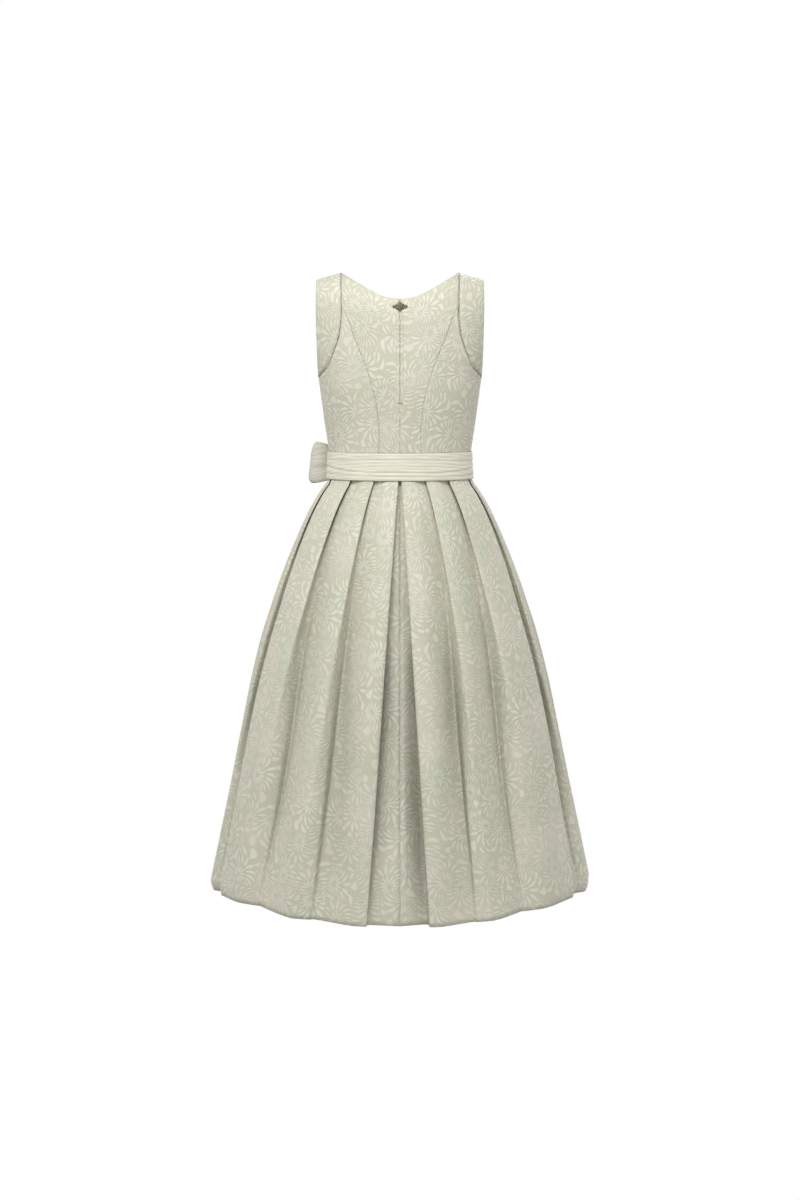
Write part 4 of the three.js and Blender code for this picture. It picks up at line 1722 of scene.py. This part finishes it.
@dataclass
class Skirt:
    """The skirt's three pleated panels.

    Args:
        form: The pleated form.
        rows, row_power: Rows from waist to hem, and the power that puts them closer at the waist.
        parts: Steps between two points of a section.
        late: Steps before an edge over which the flat cloth is stretched to meet it.
        wobble, wobble_full: The cloth's slight unevenness, and the depth from which it is full.
        billow: The soft upright waves low on the skirt.
        billow_zone, billow_end: Depths between which they grow, and half of them fades again.
        hem_roll, roll_zone: How far the hem turns in at the sides, and between which depths.
        side_seam: Number of the section's points from the centre back to a side seam.
    """

    form: SkirtForm = field(default_factory=SkirtForm)
    rows: int = 92
    row_power: float = 1.08
    parts: int = 4
    late: int = 4
    wobble: Wave = Wave(2.2, 260, 420, 21)
    wobble_full: float = 700
    billow: Wave = Wave(10.5, 90, 1500, 25)
    billow_zone: Place = (640, 900)
    billow_end: Place = (1050, 1150)
    hem_roll: float = 9
    roll_zone: Place = (1128, 1150)
    side_seam: int = 33

    def flat_places(
        self, points: np.ndarray, edges: list[bool], anchors: list[float]
    ) -> np.ndarray:
        """Gives each point's place round the flat cloth.

        Args:
            points: The section's points.
            edges: Which of them are edges of folds.
            anchors: Where each edge lies on the flat cloth.

        Returns:
            The places.
        """
        count = len(points)
        closed = np.concatenate([points, points[:1]])
        step = np.linalg.norm(np.diff(closed, axis=0), axis=1)
        marks = [i for i in range(count) if edges[i]] + [count]
        places = np.zeros(count + 1)
        for k, (a, b) in enumerate(zip(marks, marks[1:])):
            span = np.concatenate([[0], np.cumsum(step[a:b])])
            stretch = anchors[k + 1] - anchors[k] - span[-1]
            late = np.clip((np.arange(b - a + 1) - (b - a - self.late)) / self.late, 0, 1)
            places[a : b + 1] = anchors[k] + span + stretch * late
        return places

    def softened(self, ring: np.ndarray, places: np.ndarray, z: float) -> None:
        """Moves a row's points by the cloth's waves and the hem's roll.

        Args:
            ring: The row's points, which are changed.
            places: Their places round the flat cloth.
            z: The row's height.
        """
        soft = self.wobble.height * smoothstep(-z, -self.form.waist, self.wobble_full)
        fade = 1 - 0.5 * smoothstep(-z, *self.billow_end)
        wave = self.billow.height * smoothstep(-z, *self.billow_zone) * fade
        roll = self.hem_roll * smoothstep(-z, *self.roll_zone) ** 2
        for i, place in enumerate(places[:-1]):
            size = math.hypot(ring[i, 0], ring[i, 1])
            aside = (ring[i, 0] / size) ** 4
            out = soft * self.wobble.at(place, z) - roll * aside
            out += wave * (1 - aside) * self.billow.at(place, z)
            ring[i, :2] *= 1 + out / size
        ring[-1] = ring[0]

    def rings(self) -> tuple[list[np.ndarray], float]:
        """Shapes every row of the skirt.

        Returns:
            Rows of points with their place round the flat cloth, and that cloth's width.
        """
        hem_points, edges = self.form.section(self.form.hem)
        run = travelled(np.concatenate([hem_points, hem_points[:1]]))
        marks = [i for i in range(len(hem_points)) if edges[i]] + [len(hem_points)]
        anchors = [float(run[i]) for i in marks]
        rows = []
        for share in steps(0, 1, self.rows):
            z = lerp(self.form.waist, self.form.hem, share**self.row_power)
            points, edges = self.form.section(z)
            places = self.flat_places(points, edges, anchors)
            ring = np.concatenate([points, points[:1]])
            self.softened(ring, places, z)
            rows.append(rounded(np.column_stack([ring, places]), self.parts))
        return rows, float(run[-1])

    def build(self, wardrobe: Wardrobe) -> None:
        """Builds and dresses the panels.

        Args:
            wardrobe: Dresses them.
        """
        rows, width = self.rings()
        LOG.info("skirt: the flat cloth is %.0f mm round", width)
        count = (len(rows[0]) - 1) // self.parts
        seams = {
            "skirt_back_left": (0, self.side_seam, "cloth_sash_back"),
            "skirt_front": (self.side_seam, count - self.side_seam, "cloth_sash_front"),
            "skirt_back_right": (count - self.side_seam, count, "cloth_sash_back"),
        }
        for node, (start, end, sash) in seams.items():
            part = [row[start * self.parts : end * self.parts + 1][::-1] for row in rows]
            points = [[tuple(p[:3]) for p in row] for row in part]
            down = travelled(np.array([row[0, :3] for row in part]))
            flat = [[(p[3], v) for p in row] for row, v in zip(part, down)]
            wide = abs(part[-1][0, 3] - part[-1][-1, 3]) * MM
            cut = Cut(wide, float(down[-1]) * MM, Held.GATHERED, (sash,))
            wardrobe.sew(ClothGrid(points, flat), node, Cloth(Slot.JACQUARD, 1.2, 0.0), cut)


# The sash and the apron


@dataclass(frozen=True)
class Crease:
    """One soft crease along the sash.

    Args:
        z, lift: Its height at the centre, and how much higher it runs at the sides.
        depth, narrow: How deep it is, and how far its dip reaches.
        welt: Height of the welt above it, as a share of its depth.
        welt_up, welt_reach: How far above the crease the welt runs, and how far it reaches.
    """

    z: float
    lift: float
    depth: float
    narrow: float = 1.6
    welt: float = 0.5
    welt_up: float = 4
    welt_reach: float = 2.6

    def out(self, above: float) -> float:
        """Gives how far the cloth stands out at a height above the crease."""
        welt = self.welt * self.depth * bump(above - self.welt_up, self.welt_reach)
        return welt - self.depth * bump(above, self.narrow)


@dataclass
class Sash:
    """The sash round the waist, as a back and a front length.

    Args:
        flatness: How much less deep than wide its half is.
        swell, swell_full: How much further out the front lies, and the cosine from which it does.
        rows, columns: Size of a length's grid.
        stand: How far the cloth lies out from the table's width.
        edge_turn, edge_reach: How far its edges turn in, and over which distance.
        creases: The creases.
        stray: How far the creases stray up and down.
        uneven: The slight unevenness.
        table: Height and half width.
    """

    flatness: float = 32
    swell: float = 3
    swell_full: float = 0.5
    rows: int = 46
    columns: int = 150
    stand: float = 0.5
    edge_turn: float = 0.8
    edge_reach: float = 2
    creases: tuple[Crease, ...] = (
        Crease(-364, 9, 1.0),
        Crease(-371, 3, 0.7),
        Crease(-341, -3, 0.6),
    )
    stray: Wave = Wave(1.5, 2, 1, 31)
    uneven: Wave = Wave(0.5, 2 / 3, 60, 33)
    table: Table = Table((
        (-328, 133.6),
        (-336, 134.0),
        (-344, 134.3),
        (-351, 134.7),
        (-359, 135.2),
        (-368, 135.9),
        (-378, 136.7),
    ))

    def __post_init__(self) -> None:
        """Reads the table's column."""
        self.width = self.table.column(1)

    def out(self, turn: float, z: float, edge: float) -> float:
        """Gives how far the cloth stands out.

        Args:
            turn: Angle from the middle of the length.
            z: The height.
            edge: Distance from the nearer edge.

        Returns:
            The distance out.
        """
        out = self.stand - self.edge_turn * bump(edge, self.edge_reach)
        stray = self.stray.height * self.stray.at(turn, 0)
        for crease in self.creases:
            line = crease.z + crease.lift * math.sin(turn) ** 4 + stray
            out += crease.out(z - line)
        return out + self.uneven.height * self.uneven.at(turn, z)

    def half(self, face: Face) -> ClothGrid:
        """Shapes one length of the sash.

        Args:
            face: Back or front.

        Returns:
            The length's grid.
        """
        top, bottom = self.table.rows[0][0], self.table.rows[-1][0]
        front = face is Face.FRONT
        points = []
        for share in steps(0, 1, self.rows):
            z = lerp(top, bottom, share)
            edge = min(share, 1 - share) * (top - bottom)
            row = []
            for turn in steps(-math.pi / 2, math.pi / 2, self.columns):
                full = smoothstep(math.cos(turn), 0, self.swell_full) if front else 0
                wide = self.width(z) + self.swell * full
                deep = wide - self.flatness
                nx, ny = math.sin(turn) / wide, math.cos(turn) / deep
                size = self.out(turn, z, edge) / math.hypot(nx, ny)
                y = deep * math.cos(turn) + ny * size
                row.append((wide * math.sin(turn) + nx * size, -y if front else y, z))
            points.append(row if front else row[::-1])
        return ClothGrid(points, unroll(points))

    def build(self, wardrobe: Wardrobe) -> None:
        """Builds and dresses both lengths.

        Args:
            wardrobe: Dresses them.
        """
        cloth, cut = Cloth(Slot.APRON, 1.1), Cut(0.39, 0.05, Held.STRETCHED)
        for face in Face:
            wardrobe.sew(self.half(face), f"sash_{face.value}", cloth, cut)


@dataclass
class Apron:
    """The gathered apron over the skirt's front.

    Args:
        form: The skirt under it.
        top, hem: Heights of its edges.
        half_angle, gathers: Degrees and gathers from its middle to a side edge.
        rows, parts: Rows of its grid, and its steps in a gather.
        clear: Distance between the skirt's ridges and the cloth's middle.
        slack: How much further out it lies at the waist and at the hem.
        wander, uneven: How far the gathers stray sideways, and how much they differ in height.
        flat_width, flat_length: Width of the flat cloth, and length of its cut in metres.
        waves: Height and size of the gathers.
    """

    form: SkirtForm = field(default_factory=SkirtForm)
    top: float = -378.3
    hem: float = -1105
    half_angle: float = 62
    gathers: int = 15
    rows: int = 80
    parts: int = 12
    clear: float = 1.2
    slack: Place = (0.8, 1.6)
    wander: Wave = Wave(0.5, 1 / 3, 500, 41)
    uneven: Wave = Wave(0.25, 1 / 6, 700, 43)
    flat_width: float = 1050
    flat_length: float = 0.75
    waves: Table = Table(((-378, 0.7), (-420, 2.2), (-600, 4.5), (-1105, 7)))

    def __post_init__(self) -> None:
        """Reads the table's column."""
        self.wave = self.waves.column(1)

    def out(self, angle: float, z: float) -> float:
        """Gives how far the apron's middle lies out from the skirt's valleys."""
        slack = lerp(*self.slack, self.form.down(z))
        return self.form.ridge(angle, z) + self.clear + slack + self.wave(z)

    def build(self, wardrobe: Wardrobe) -> None:
        """Builds and dresses the apron.

        Args:
            wardrobe: Dresses it.
        """
        last = self.parts * self.gathers
        points = []
        for share in steps(0, 1, self.rows):
            z = lerp(self.top, self.hem, share)
            row = []
            for u in steps(-1, 1, last):
                wander = self.wander.height * self.wander.at(u, z) * self.form.down(z)
                even = 1 - self.uneven.height + self.uneven.height * self.uneven.at(u, z)
                gather = math.cos((u * self.gathers + wander) * math.pi) * even
                angle = math.radians(180 + u * self.half_angle)
                out = self.out(angle, z) + gather * self.wave(z)
                row.append(self.form.point(angle, out, z))
            points.append(row[::-1])
        flat = [
            [(v, self.flat_width * i / last) for i, (_, v) in enumerate(row)]
            for row in unroll(points)
        ]
        sash = ("cloth_sash_front",)
        cut = Cut(self.flat_width * MM, self.flat_length, Held.GATHERED, sash)
        wardrobe.sew(ClothGrid(points, flat), "apron", Cloth(Slot.APRON, 1.0, 0.0), cut)


@dataclass(frozen=True)
class Loop:
    """The plan of one loop of the bow.

    Args:
        to_left: 1 towards the wearer's left, and -1 the other way.
        outward: How much it leans away from the sash.
        seed: Picks its creases.
        size: Width and length of its cut, in metres.
    """

    to_left: float
    outward: float
    seed: int
    size: Place = (0.2, 0.08)


@dataclass(frozen=True)
class Tail:
    """The plan of one tail of the bow.

    Args:
        start, end: Its angles at the knot and at the tip, in degrees.
        length, slant: Its length, and how much longer one edge is than the other.
        lift: How far it lies off the apron at the top.
        seed: Picks its creases.
        size: Width and length of its cut, in metres.
    """

    start: float
    end: float
    length: float
    lift: float
    slant: float
    seed: int
    size: Place


@dataclass
class Bow:
    """The bow at the wearer's left: a knot, two loops and two tails.

    Args:
        sash, apron: The sash that it is tied in, and the apron under its tails.
        angle, z: Where it sits round the sash, in degrees from the centre back, and its height.
        knot, knot_size: The knot's width, height and depth, and its cut in metres.
        knot_clear: Distance between the sash and the knot.
        knot_round, knot_waist: Power of its section, and how much slimmer its ends are.
        knot_folds: Place, slant, reach and depth of each fold across it.
        loops: The loops by name.
        length, thickness: Distance from the knot's middle to a loop's tip, and its half thickness.
        lift: How far a loop's tip lies further out.
        knot_half, tip_half: Half heights of a loop at the knot and at its tip.
        tip_slant, tip_power: How far its tip is cut slantwise, and the power of its widening.
        corner: How much its tip's corners are rounded.
        loop_turn: How far its two layers are moved against each other.
        loop_gather, loop_soft: Heights of its gathers at the knot and of its creases.
        tails: The tails by name.
        tail_width, tail_clear: Width of a tail, and its distance from the apron.
        tail_wave, tail_soft: Heights of its folds and of its creases.
        tail_knot_lift, tail_knot_reach: How much further out it starts, and for which share.
        tail_narrow, tail_open: Share of its width at the knot, and share over which it widens.
    """

    sash: Sash = field(default_factory=Sash)
    apron: Apron = field(default_factory=Apron)
    angle: float = 150
    z: float = -352
    knot: Point = (27, 44, 15)
    knot_size: Place = (0.09, 0.05)
    knot_clear: float = 1
    knot_round: float = 0.75
    knot_waist: float = 0.55
    knot_folds: tuple[tuple[float, float, float, float], ...] = (
        (4, 2, 1.4, 0.09),
        (-5, -1, 1.3, 0.08),
    )
    loops: tuple[tuple[str, Loop], ...] = (
        ("bow_loop_left", Loop(1, 0.02, 51)),
        ("bow_loop_right", Loop(-1, 0.3, 53)),
    )
    length: float = 100
    thickness: float = 17
    lift: float = 6
    knot_half: float = 15
    tip_half: float = 38.4
    tip_slant: float = 5
    tip_power: float = 0.8
    corner: float = 0.09
    loop_turn: float = 3.4
    loop_gather: float = 1.2
    loop_soft: float = 0.9
    tails: tuple[tuple[str, Tail], ...] = (
        ("bow_tail_left", Tail(147, 139, 330, 0.3, 14, 55, (0.055, 0.35))),
        ("bow_tail_right", Tail(151, 156, 300, 5.3, -14, 57, (0.055, 0.32))),
    )
    tail_width: float = 52
    tail_clear: float = 1.2
    tail_wave: float = 2
    tail_soft: float = 1.1
    tail_knot_lift: float = 6
    tail_knot_reach: float = 0.16
    tail_narrow: float = 0.45
    tail_open: float = 0.35

    def place(self) -> tuple[Vector, Vector, Vector]:
        """Finds where the knot sits.

        Returns:
            Its centre, the direction away from the sash and the one along it.
        """
        angle = math.radians(self.angle)
        wide = self.sash.width(self.z) + self.sash.swell
        deep = wide - self.sash.flatness
        surface = Vector((wide * math.sin(angle), deep * math.cos(angle), self.z))
        away = Vector((math.sin(angle) / wide, math.cos(angle) / deep, 0)).normalized()
        along = Vector((-away.y, away.x, 0))
        return surface + away * (self.knot[2] / 2 + self.knot_clear), away, along

    def loop(self, plan: Loop) -> ClothGrid:
        """Shapes one loop.

        Args:
            plan: The loop.

        Returns:
            The loop's grid.
        """
        rows, columns = 40, 90
        centre, away, along = self.place()
        forward = (along * plan.to_left + away * plan.outward).normalized()
        across = Vector((-forward.y, forward.x, 0))
        start = self.knot[0] / 2
        points = []
        for v in steps(-1, 1, rows):
            row = []
            for turn in steps(0, 1, columns):
                reach = math.sin(math.pi * turn)
                half = lerp(self.knot_half, self.tip_half, reach**self.tip_power)
                gather = self.loop_gather * math.cos(3 * math.pi * v) * (1 - reach)
                gather += self.loop_soft * ripple(v * 1.4, turn * 2, plan.seed) * reach
                side = self.thickness * math.sin(2 * math.pi * turn)
                side += self.loop_turn * math.cos(math.pi * turn) + gather
                corner = 1 - self.corner * abs(v) ** 8
                far = start + (self.length - start - self.tip_slant * v) * reach * corner
                spot = centre + forward * far + across * side + away * self.lift * reach
                row.append((spot.x, spot.y, self.z + half * v))
            points.append(row)
        return ClothGrid(points, unroll(points))

    def tail(self, plan: Tail) -> ClothGrid:
        """Shapes one tail.

        Args:
            plan: The tail.

        Returns:
            The tail's grid.
        """
        rows, columns = 70, 26
        form, apron = self.apron.form, self.apron
        top = self.z - self.knot[1] / 2
        points = []
        for s in steps(0, 1, rows):
            at_knot = self.tail_knot_lift * (1 - smoothstep(s, 0, self.tail_knot_reach))
            angle = math.radians(lerp(plan.start, plan.end, s))
            spread = lerp(self.tail_narrow, 1, smoothstep(s, 0, self.tail_open))
            row = []
            for u in steps(-1, 1, columns):
                z = top - s * (plan.length + plan.slant * u)
                out = apron.out(angle, z) + apron.wave(z) + self.tail_clear
                out += lerp(plan.lift, 0, s**4) + at_knot
                fold = self.tail_wave * (1 + math.cos(2 * math.pi * u)) * (1 - 0.4 * s)
                fold += self.tail_soft * ripple(u, s * 2, plan.seed) * s
                turn = u * spread * self.tail_width / 2 / form.metric(angle, z)
                row.append(form.point(angle + turn, out + fold, z))
            points.append(row[::-1])
        middle = columns // 2
        flat = [[(v, u - row[middle][0]) for u, v in row] for row in unroll(points)]
        return ClothGrid(points, flat)

    def knot_grid(self) -> ClothGrid:
        """Shapes the knot as a wrap with folds that run up and down.

        Returns:
            The knot's grid.
        """
        rows, columns = 40, 80
        centre, away, along = self.place()
        wide, high, deep = self.knot
        points = []
        for v in steps(-1, 1, rows):
            girth = (1 - abs(v) ** 4 * self.knot_waist) ** 0.5
            row = []
            for turn in steps(0, 2 * math.pi, columns)[:-1]:
                x = signed_power(math.cos(turn), self.knot_round)
                y = signed_power(math.sin(turn), self.knot_round)
                crease = 1.0
                for place, slant, reach, depth in self.knot_folds:
                    aside = x * wide / 2 - place - slant * v
                    crease -= depth * bump(aside, reach) * (y > 0)
                spot = centre + along * (x * wide / 2 * girth)
                spot += away * (y * deep / 2 * girth * crease)
                row.append((spot.x, spot.y, self.z + v * high / 2))
            points.append(row)
        flat = [[(v, u) for u, v in row] for row in unroll(points)]
        return ClothGrid(points, flat, ring=True)

    def build(self, wardrobe: Wardrobe) -> None:
        """Builds and dresses the bow.

        Args:
            wardrobe: Dresses it.
        """
        sash, knot = ("cloth_sash_front",), ("cloth_bow_knot",)
        pieces = [("bow_knot", self.knot_grid(), Cut(*self.knot_size, Held.FOLDED, sash))]
        for node, loop in self.loops:
            pieces.append((node, self.loop(loop), Cut(*loop.size, Held.FOLDED, knot)))
        for node, tail in self.tails:
            pieces.append((node, self.tail(tail), Cut(*tail.size, Held.HUNG, knot)))
        for node, grid, cut in pieces:
            piece = wardrobe.sew(grid, node, Cloth(Slot.APRON, 0.9, 0.0), cut)
            # Every bow piece takes the darker copy of the ribbed cloth: painted shade over the whole bow.
            piece.data.materials[0] = wardrobe.turned


# Small parts of the back


@dataclass
class Ornament:
    """The metal flower between two leaves under the back neckline.

    Args:
        form: The bodice under it.
        z, radius: Height of its middle, and radius of the flower.
        petals, notch: The flower's petals, and how deep it is cut between them.
        flower_dome, leaf_dome: Heights of the domes.
        leaf_root, leaf_gap: Where the leaves start, as a share of the radius and further out.
        leaf_length, leaf_width, leaf_taper: Size of a leaf, and how much slimmer its tip is.
        sides: Steps round an outline.
        seat, rim: How far the foot and the rim stand out from the form.
        profile: Size and share of the dome's height of each ring from the rim up.
    """

    form: TorsoForm = field(default_factory=TorsoForm)
    z: float = -63
    radius: float = 8.6
    petals: int = 6
    notch: float = 0.2
    flower_dome: float = 0.9
    leaf_root: float = 0.72
    leaf_gap: float = 1
    leaf_length: float = 6.5
    leaf_width: float = 6
    leaf_taper: float = 0.25
    leaf_dome: float = 0.6
    sides: int = 96
    seat: float = 0.45
    rim: float = 1.2
    profile: tuple[Place, ...] = ((1, 0), (0.86, 0.55), (0.55, 1), (0.2, 0.8))

    def flower(self, share: float) -> Place:
        """Gives a point of the flower's outline.

        Args:
            share: Share of the way round.

        Returns:
            Its x and z.
        """
        turn = 2 * math.pi * share
        size = self.radius * (1 - self.notch + self.notch * math.cos(self.petals * turn))
        return size * math.sin(turn), self.z + size * math.cos(turn)

    def root(self) -> float:
        """Gives where the leaves start."""
        return self.radius * self.leaf_root + self.leaf_gap

    def leaf(self, side: Side, share: float) -> Place:
        """Gives a point of a leaf's outline.

        Args:
            side: The wearer's side.
            share: Share of the way round.

        Returns:
            Its x and z.
        """
        turn = 2 * math.pi * share
        along = 0.5 - 0.5 * math.cos(turn)
        wide = self.leaf_width / 2 * math.sin(turn) * (1.05 - self.leaf_taper * along)
        return side.value * (self.root() + self.leaf_length * along), self.z + wide

    def dome(
        self, name: str, outline: Callable[[float], Place], height: float, centre: Place
    ) -> bpy.types.Object:
        """Makes a low dome over an outline.

        Args:
            name: The new object's name.
            outline: The outline's point at a share of the way round.
            height: How high the dome rises.
            centre: The dome's middle.

        Returns:
            The object.
        """
        work = bmesh.new()
        levels = [(1, self.seat)]
        levels += [(size, self.rim + share * height) for size, share in self.profile]
        middle_x, middle_z = centre
        rings: list[list[bmesh.types.BMVert]] = []
        for size, out in levels:
            ring = []
            for i in range(self.sides):
                x, z = outline(i / self.sides)
                across = middle_x + (x - middle_x) * size
                spot = self.form.back_spot(across, middle_z + (z - middle_z) * size, out)
                ring.append(work.verts.new([c * MM for c in spot]))
            rings.append(ring)
        for low, high in zip(rings, rings[1:]):
            for i in range(self.sides):
                j = (i + 1) % self.sides
                work.faces.new((low[i], low[j], high[j], high[i]))
        work.faces.new(rings[-1])
        work.faces.new(rings[0][::-1])
        bmesh.ops.recalc_face_normals(work, faces=work.faces)
        mesh = bpy.data.meshes.new(name)
        work.to_mesh(mesh)
        work.free()
        mesh.shade_smooth()
        return add_object(name, mesh)

    def build(self, wardrobe: Wardrobe) -> None:
        """Builds and dresses the ornament.

        Args:
            wardrobe: Dresses it.
        """
        flower = self.dome("metal_flower", self.flower, self.flower_dome, (0, self.z))
        wardrobe.wear(flower, Slot.METAL, ["ornament_flower"])
        for side in Side:
            hand = side.name.lower()
            middle = (side.value * (self.root() + self.leaf_length / 2), self.z)
            outline = partial(self.leaf, side)
            leaf = self.dome(f"metal_leaf_{hand}", outline, self.leaf_dome, middle)
            wardrobe.wear(leaf, Slot.METAL, [f"ornament_leaf_{hand}"])


@dataclass
class BackZip:
    """The two folded edges that meet over the concealed zip.

    Args:
        form: The bodice under them.
        top, bottom: Heights of the zip's ends.
        width, gap: Width of one folded edge, and its distance from the centre line.
        height: How far it stands out of the panel.
        buried, body: How deep its borders lie under the form, and how far the fold rises over them.
        fade: Share of its length over which it rises at each end.
        fullness: Power of its section, less than 1 for a fuller one.
        thickness: Thickness of its cloth.
        rows, columns: Size of its grid.
        weave_start: Where the weave starts across it.
        size: Width and length of its cut, in metres; nothing uses it.
    """

    form: TorsoForm = field(default_factory=TorsoForm)
    top: float = -74
    bottom: float = -238
    width: float = 5.5
    gap: float = 0.35
    height: float = 0.3
    buried: Place = (-0.9, -0.5)
    body: float = 0.8
    fade: float = 0.03
    fullness: float = 0.8
    thickness: float = 0.3
    rows: int = 60
    columns: int = 10
    weave_start: float = 30
    size: Place = (0.01, 0.164)

    def edge(self, side: Side) -> ClothGrid:
        """Shapes one folded edge.

        Args:
            side: The wearer's side.

        Returns:
            The edge's grid.
        """
        points = []
        for share in steps(0, 1, self.rows):
            z = lerp(self.top, self.bottom, share)
            full = self.body + self.height * smoothstep(min(share, 1 - share), 0, self.fade)
            row = []
            for turn in steps(0, math.pi, self.columns):
                x = self.gap + self.width / 2 - self.width / 2 * math.cos(turn)
                out = lerp(*self.buried, turn / math.pi)
                out += full * math.sin(turn) ** self.fullness
                row.append(self.form.back_spot(x * side.value, z, out))
            points.append(row if side is Side.RIGHT else row[::-1])
        return ClothGrid(points, unroll(points, self.weave_start))

    def build(self, wardrobe: Wardrobe) -> None:
        """Builds and dresses both edges.

        Args:
            wardrobe: Dresses them.
        """
        for side in Side:
            grid = self.edge(side)
            piece = grid.build(f"zip_edge_{side.name.lower()}", self.thickness, 0.0)
            wardrobe.wear(piece, Slot.JACQUARD)
            grid.area()


# The camera and the light


@dataclass(frozen=True)
class Lamp:
    """A square lamp, in metres.

    Args:
        name: Its name.
        place: Where it hangs.
        size: Length of its side.
        power: Its power in watts.
    """

    name: str
    place: Point
    size: float
    power: float


@dataclass
class Studio:
    """The camera of the photo, a white surround and soft lamps.

    Args:
        distance: From the camera to the dress's middle, in metres.
        height: The camera's height over the top of the shoulder, in metres.
        scale: Millimetres of the dress for each pixel of the photo.
        aim: Pixels from the horizon down to the picture's middle.
        tall: Height of the photo in pixels.
        sensor: Width of the camera's sensor.
        gloom: Brightness of the surround far above and far below the horizon.
        above, above_share: Heights between which it dims upwards, and how much.
        below: Heights between which it dims downwards, counted down.
        lamps, lit: The lamps, and the place that they point at in metres.
    """

    distance: float = 5.2
    height: float = -0.105
    scale: float = 1.85
    aim: float = 270
    tall: float = 1200
    sensor: float = 36.0
    gloom: float = 0.2
    above: Place = (0.45, 0.85)
    above_share: float = 0.7
    below: Place = (0.45, 0.6)
    lamps: tuple[Lamp, ...] = (
        Lamp("key", (0.3, 1.35, 1.1), 0.8, 28),
        Lamp("front", (-0.5, -2.2, 0.5), 1.2, 26),
    )
    lit: Point = (0, 0, -0.25)

    def camera(self) -> None:
        """Makes the camera."""
        focal = self.distance / MM / self.scale
        data = bpy.data.cameras.new("camera")
        data.sensor_width = self.sensor
        data.lens = focal * self.sensor / self.tall
        camera = add_object("camera", data)
        camera.location = (0, self.distance, self.height)
        camera.rotation_euler = (math.pi / 2 - math.atan(self.aim / focal), 0, math.pi)
        bpy.context.scene.camera = camera

    def surround(self) -> None:
        """Makes the white world."""
        world = bpy.data.worlds.new("surround")
        bpy.context.scene.world = world
        world.use_nodes = True
        graph = Graph(world.node_tree)
        height = graph.split(graph.take("ShaderNodeTexCoord", {}, {}, "Generated"))[2]
        upwards = height.ramp(*self.above) * self.above_share
        dim = upwards.most((0 - height).ramp(*self.below))
        colour = graph.mix(dim, (1, 1, 1, 1), (self.gloom, self.gloom, self.gloom, 1))
        background = graph.take("ShaderNodeBackground", {}, {0: colour, 1: 1.0})
        graph.node("ShaderNodeOutputWorld", {}, {0: background})

    def hang(self, lamp: Lamp) -> None:
        """Hangs a lamp that points at the dress's middle.

        Args:
            lamp: The lamp.
        """
        data = bpy.data.lights.new(lamp.name, "AREA")
        data.size = lamp.size
        data.energy = lamp.power
        hung = add_object(lamp.name, data)
        hung.location = lamp.place
        hung.rotation_mode = "QUATERNION"
        aim = Vector(self.lit) - Vector(lamp.place)
        hung.rotation_quaternion = aim.to_track_quat("-Z", "Y")

    def build(self) -> None:
        """Builds the whole studio."""
        self.camera()
        self.surround()
        for lamp in self.lamps:
            self.hang(lamp)
        scene = bpy.context.scene
        scene.view_settings.view_transform = "Standard"
        scene.view_settings.look = "None"


def main() -> None:
    """Builds the dress, piece by piece."""
    logging.basicConfig(level=logging.INFO, format="%(message)s")
    wardrobe = Wardrobe()
    skirt_form = SkirtForm()
    torso = TorsoForm()
    apron = Apron(skirt_form)
    sash = Sash()
    Bodice(torso).build(wardrobe)
    Skirt(skirt_form).build(wardrobe)
    sash.build(wardrobe)
    apron.build(wardrobe)
    Bow(sash, apron).build(wardrobe)
    Ornament(torso).build(wardrobe)
    BackZip(torso).build(wardrobe)
    Studio().build()


if __name__ == "__main__":
    main()
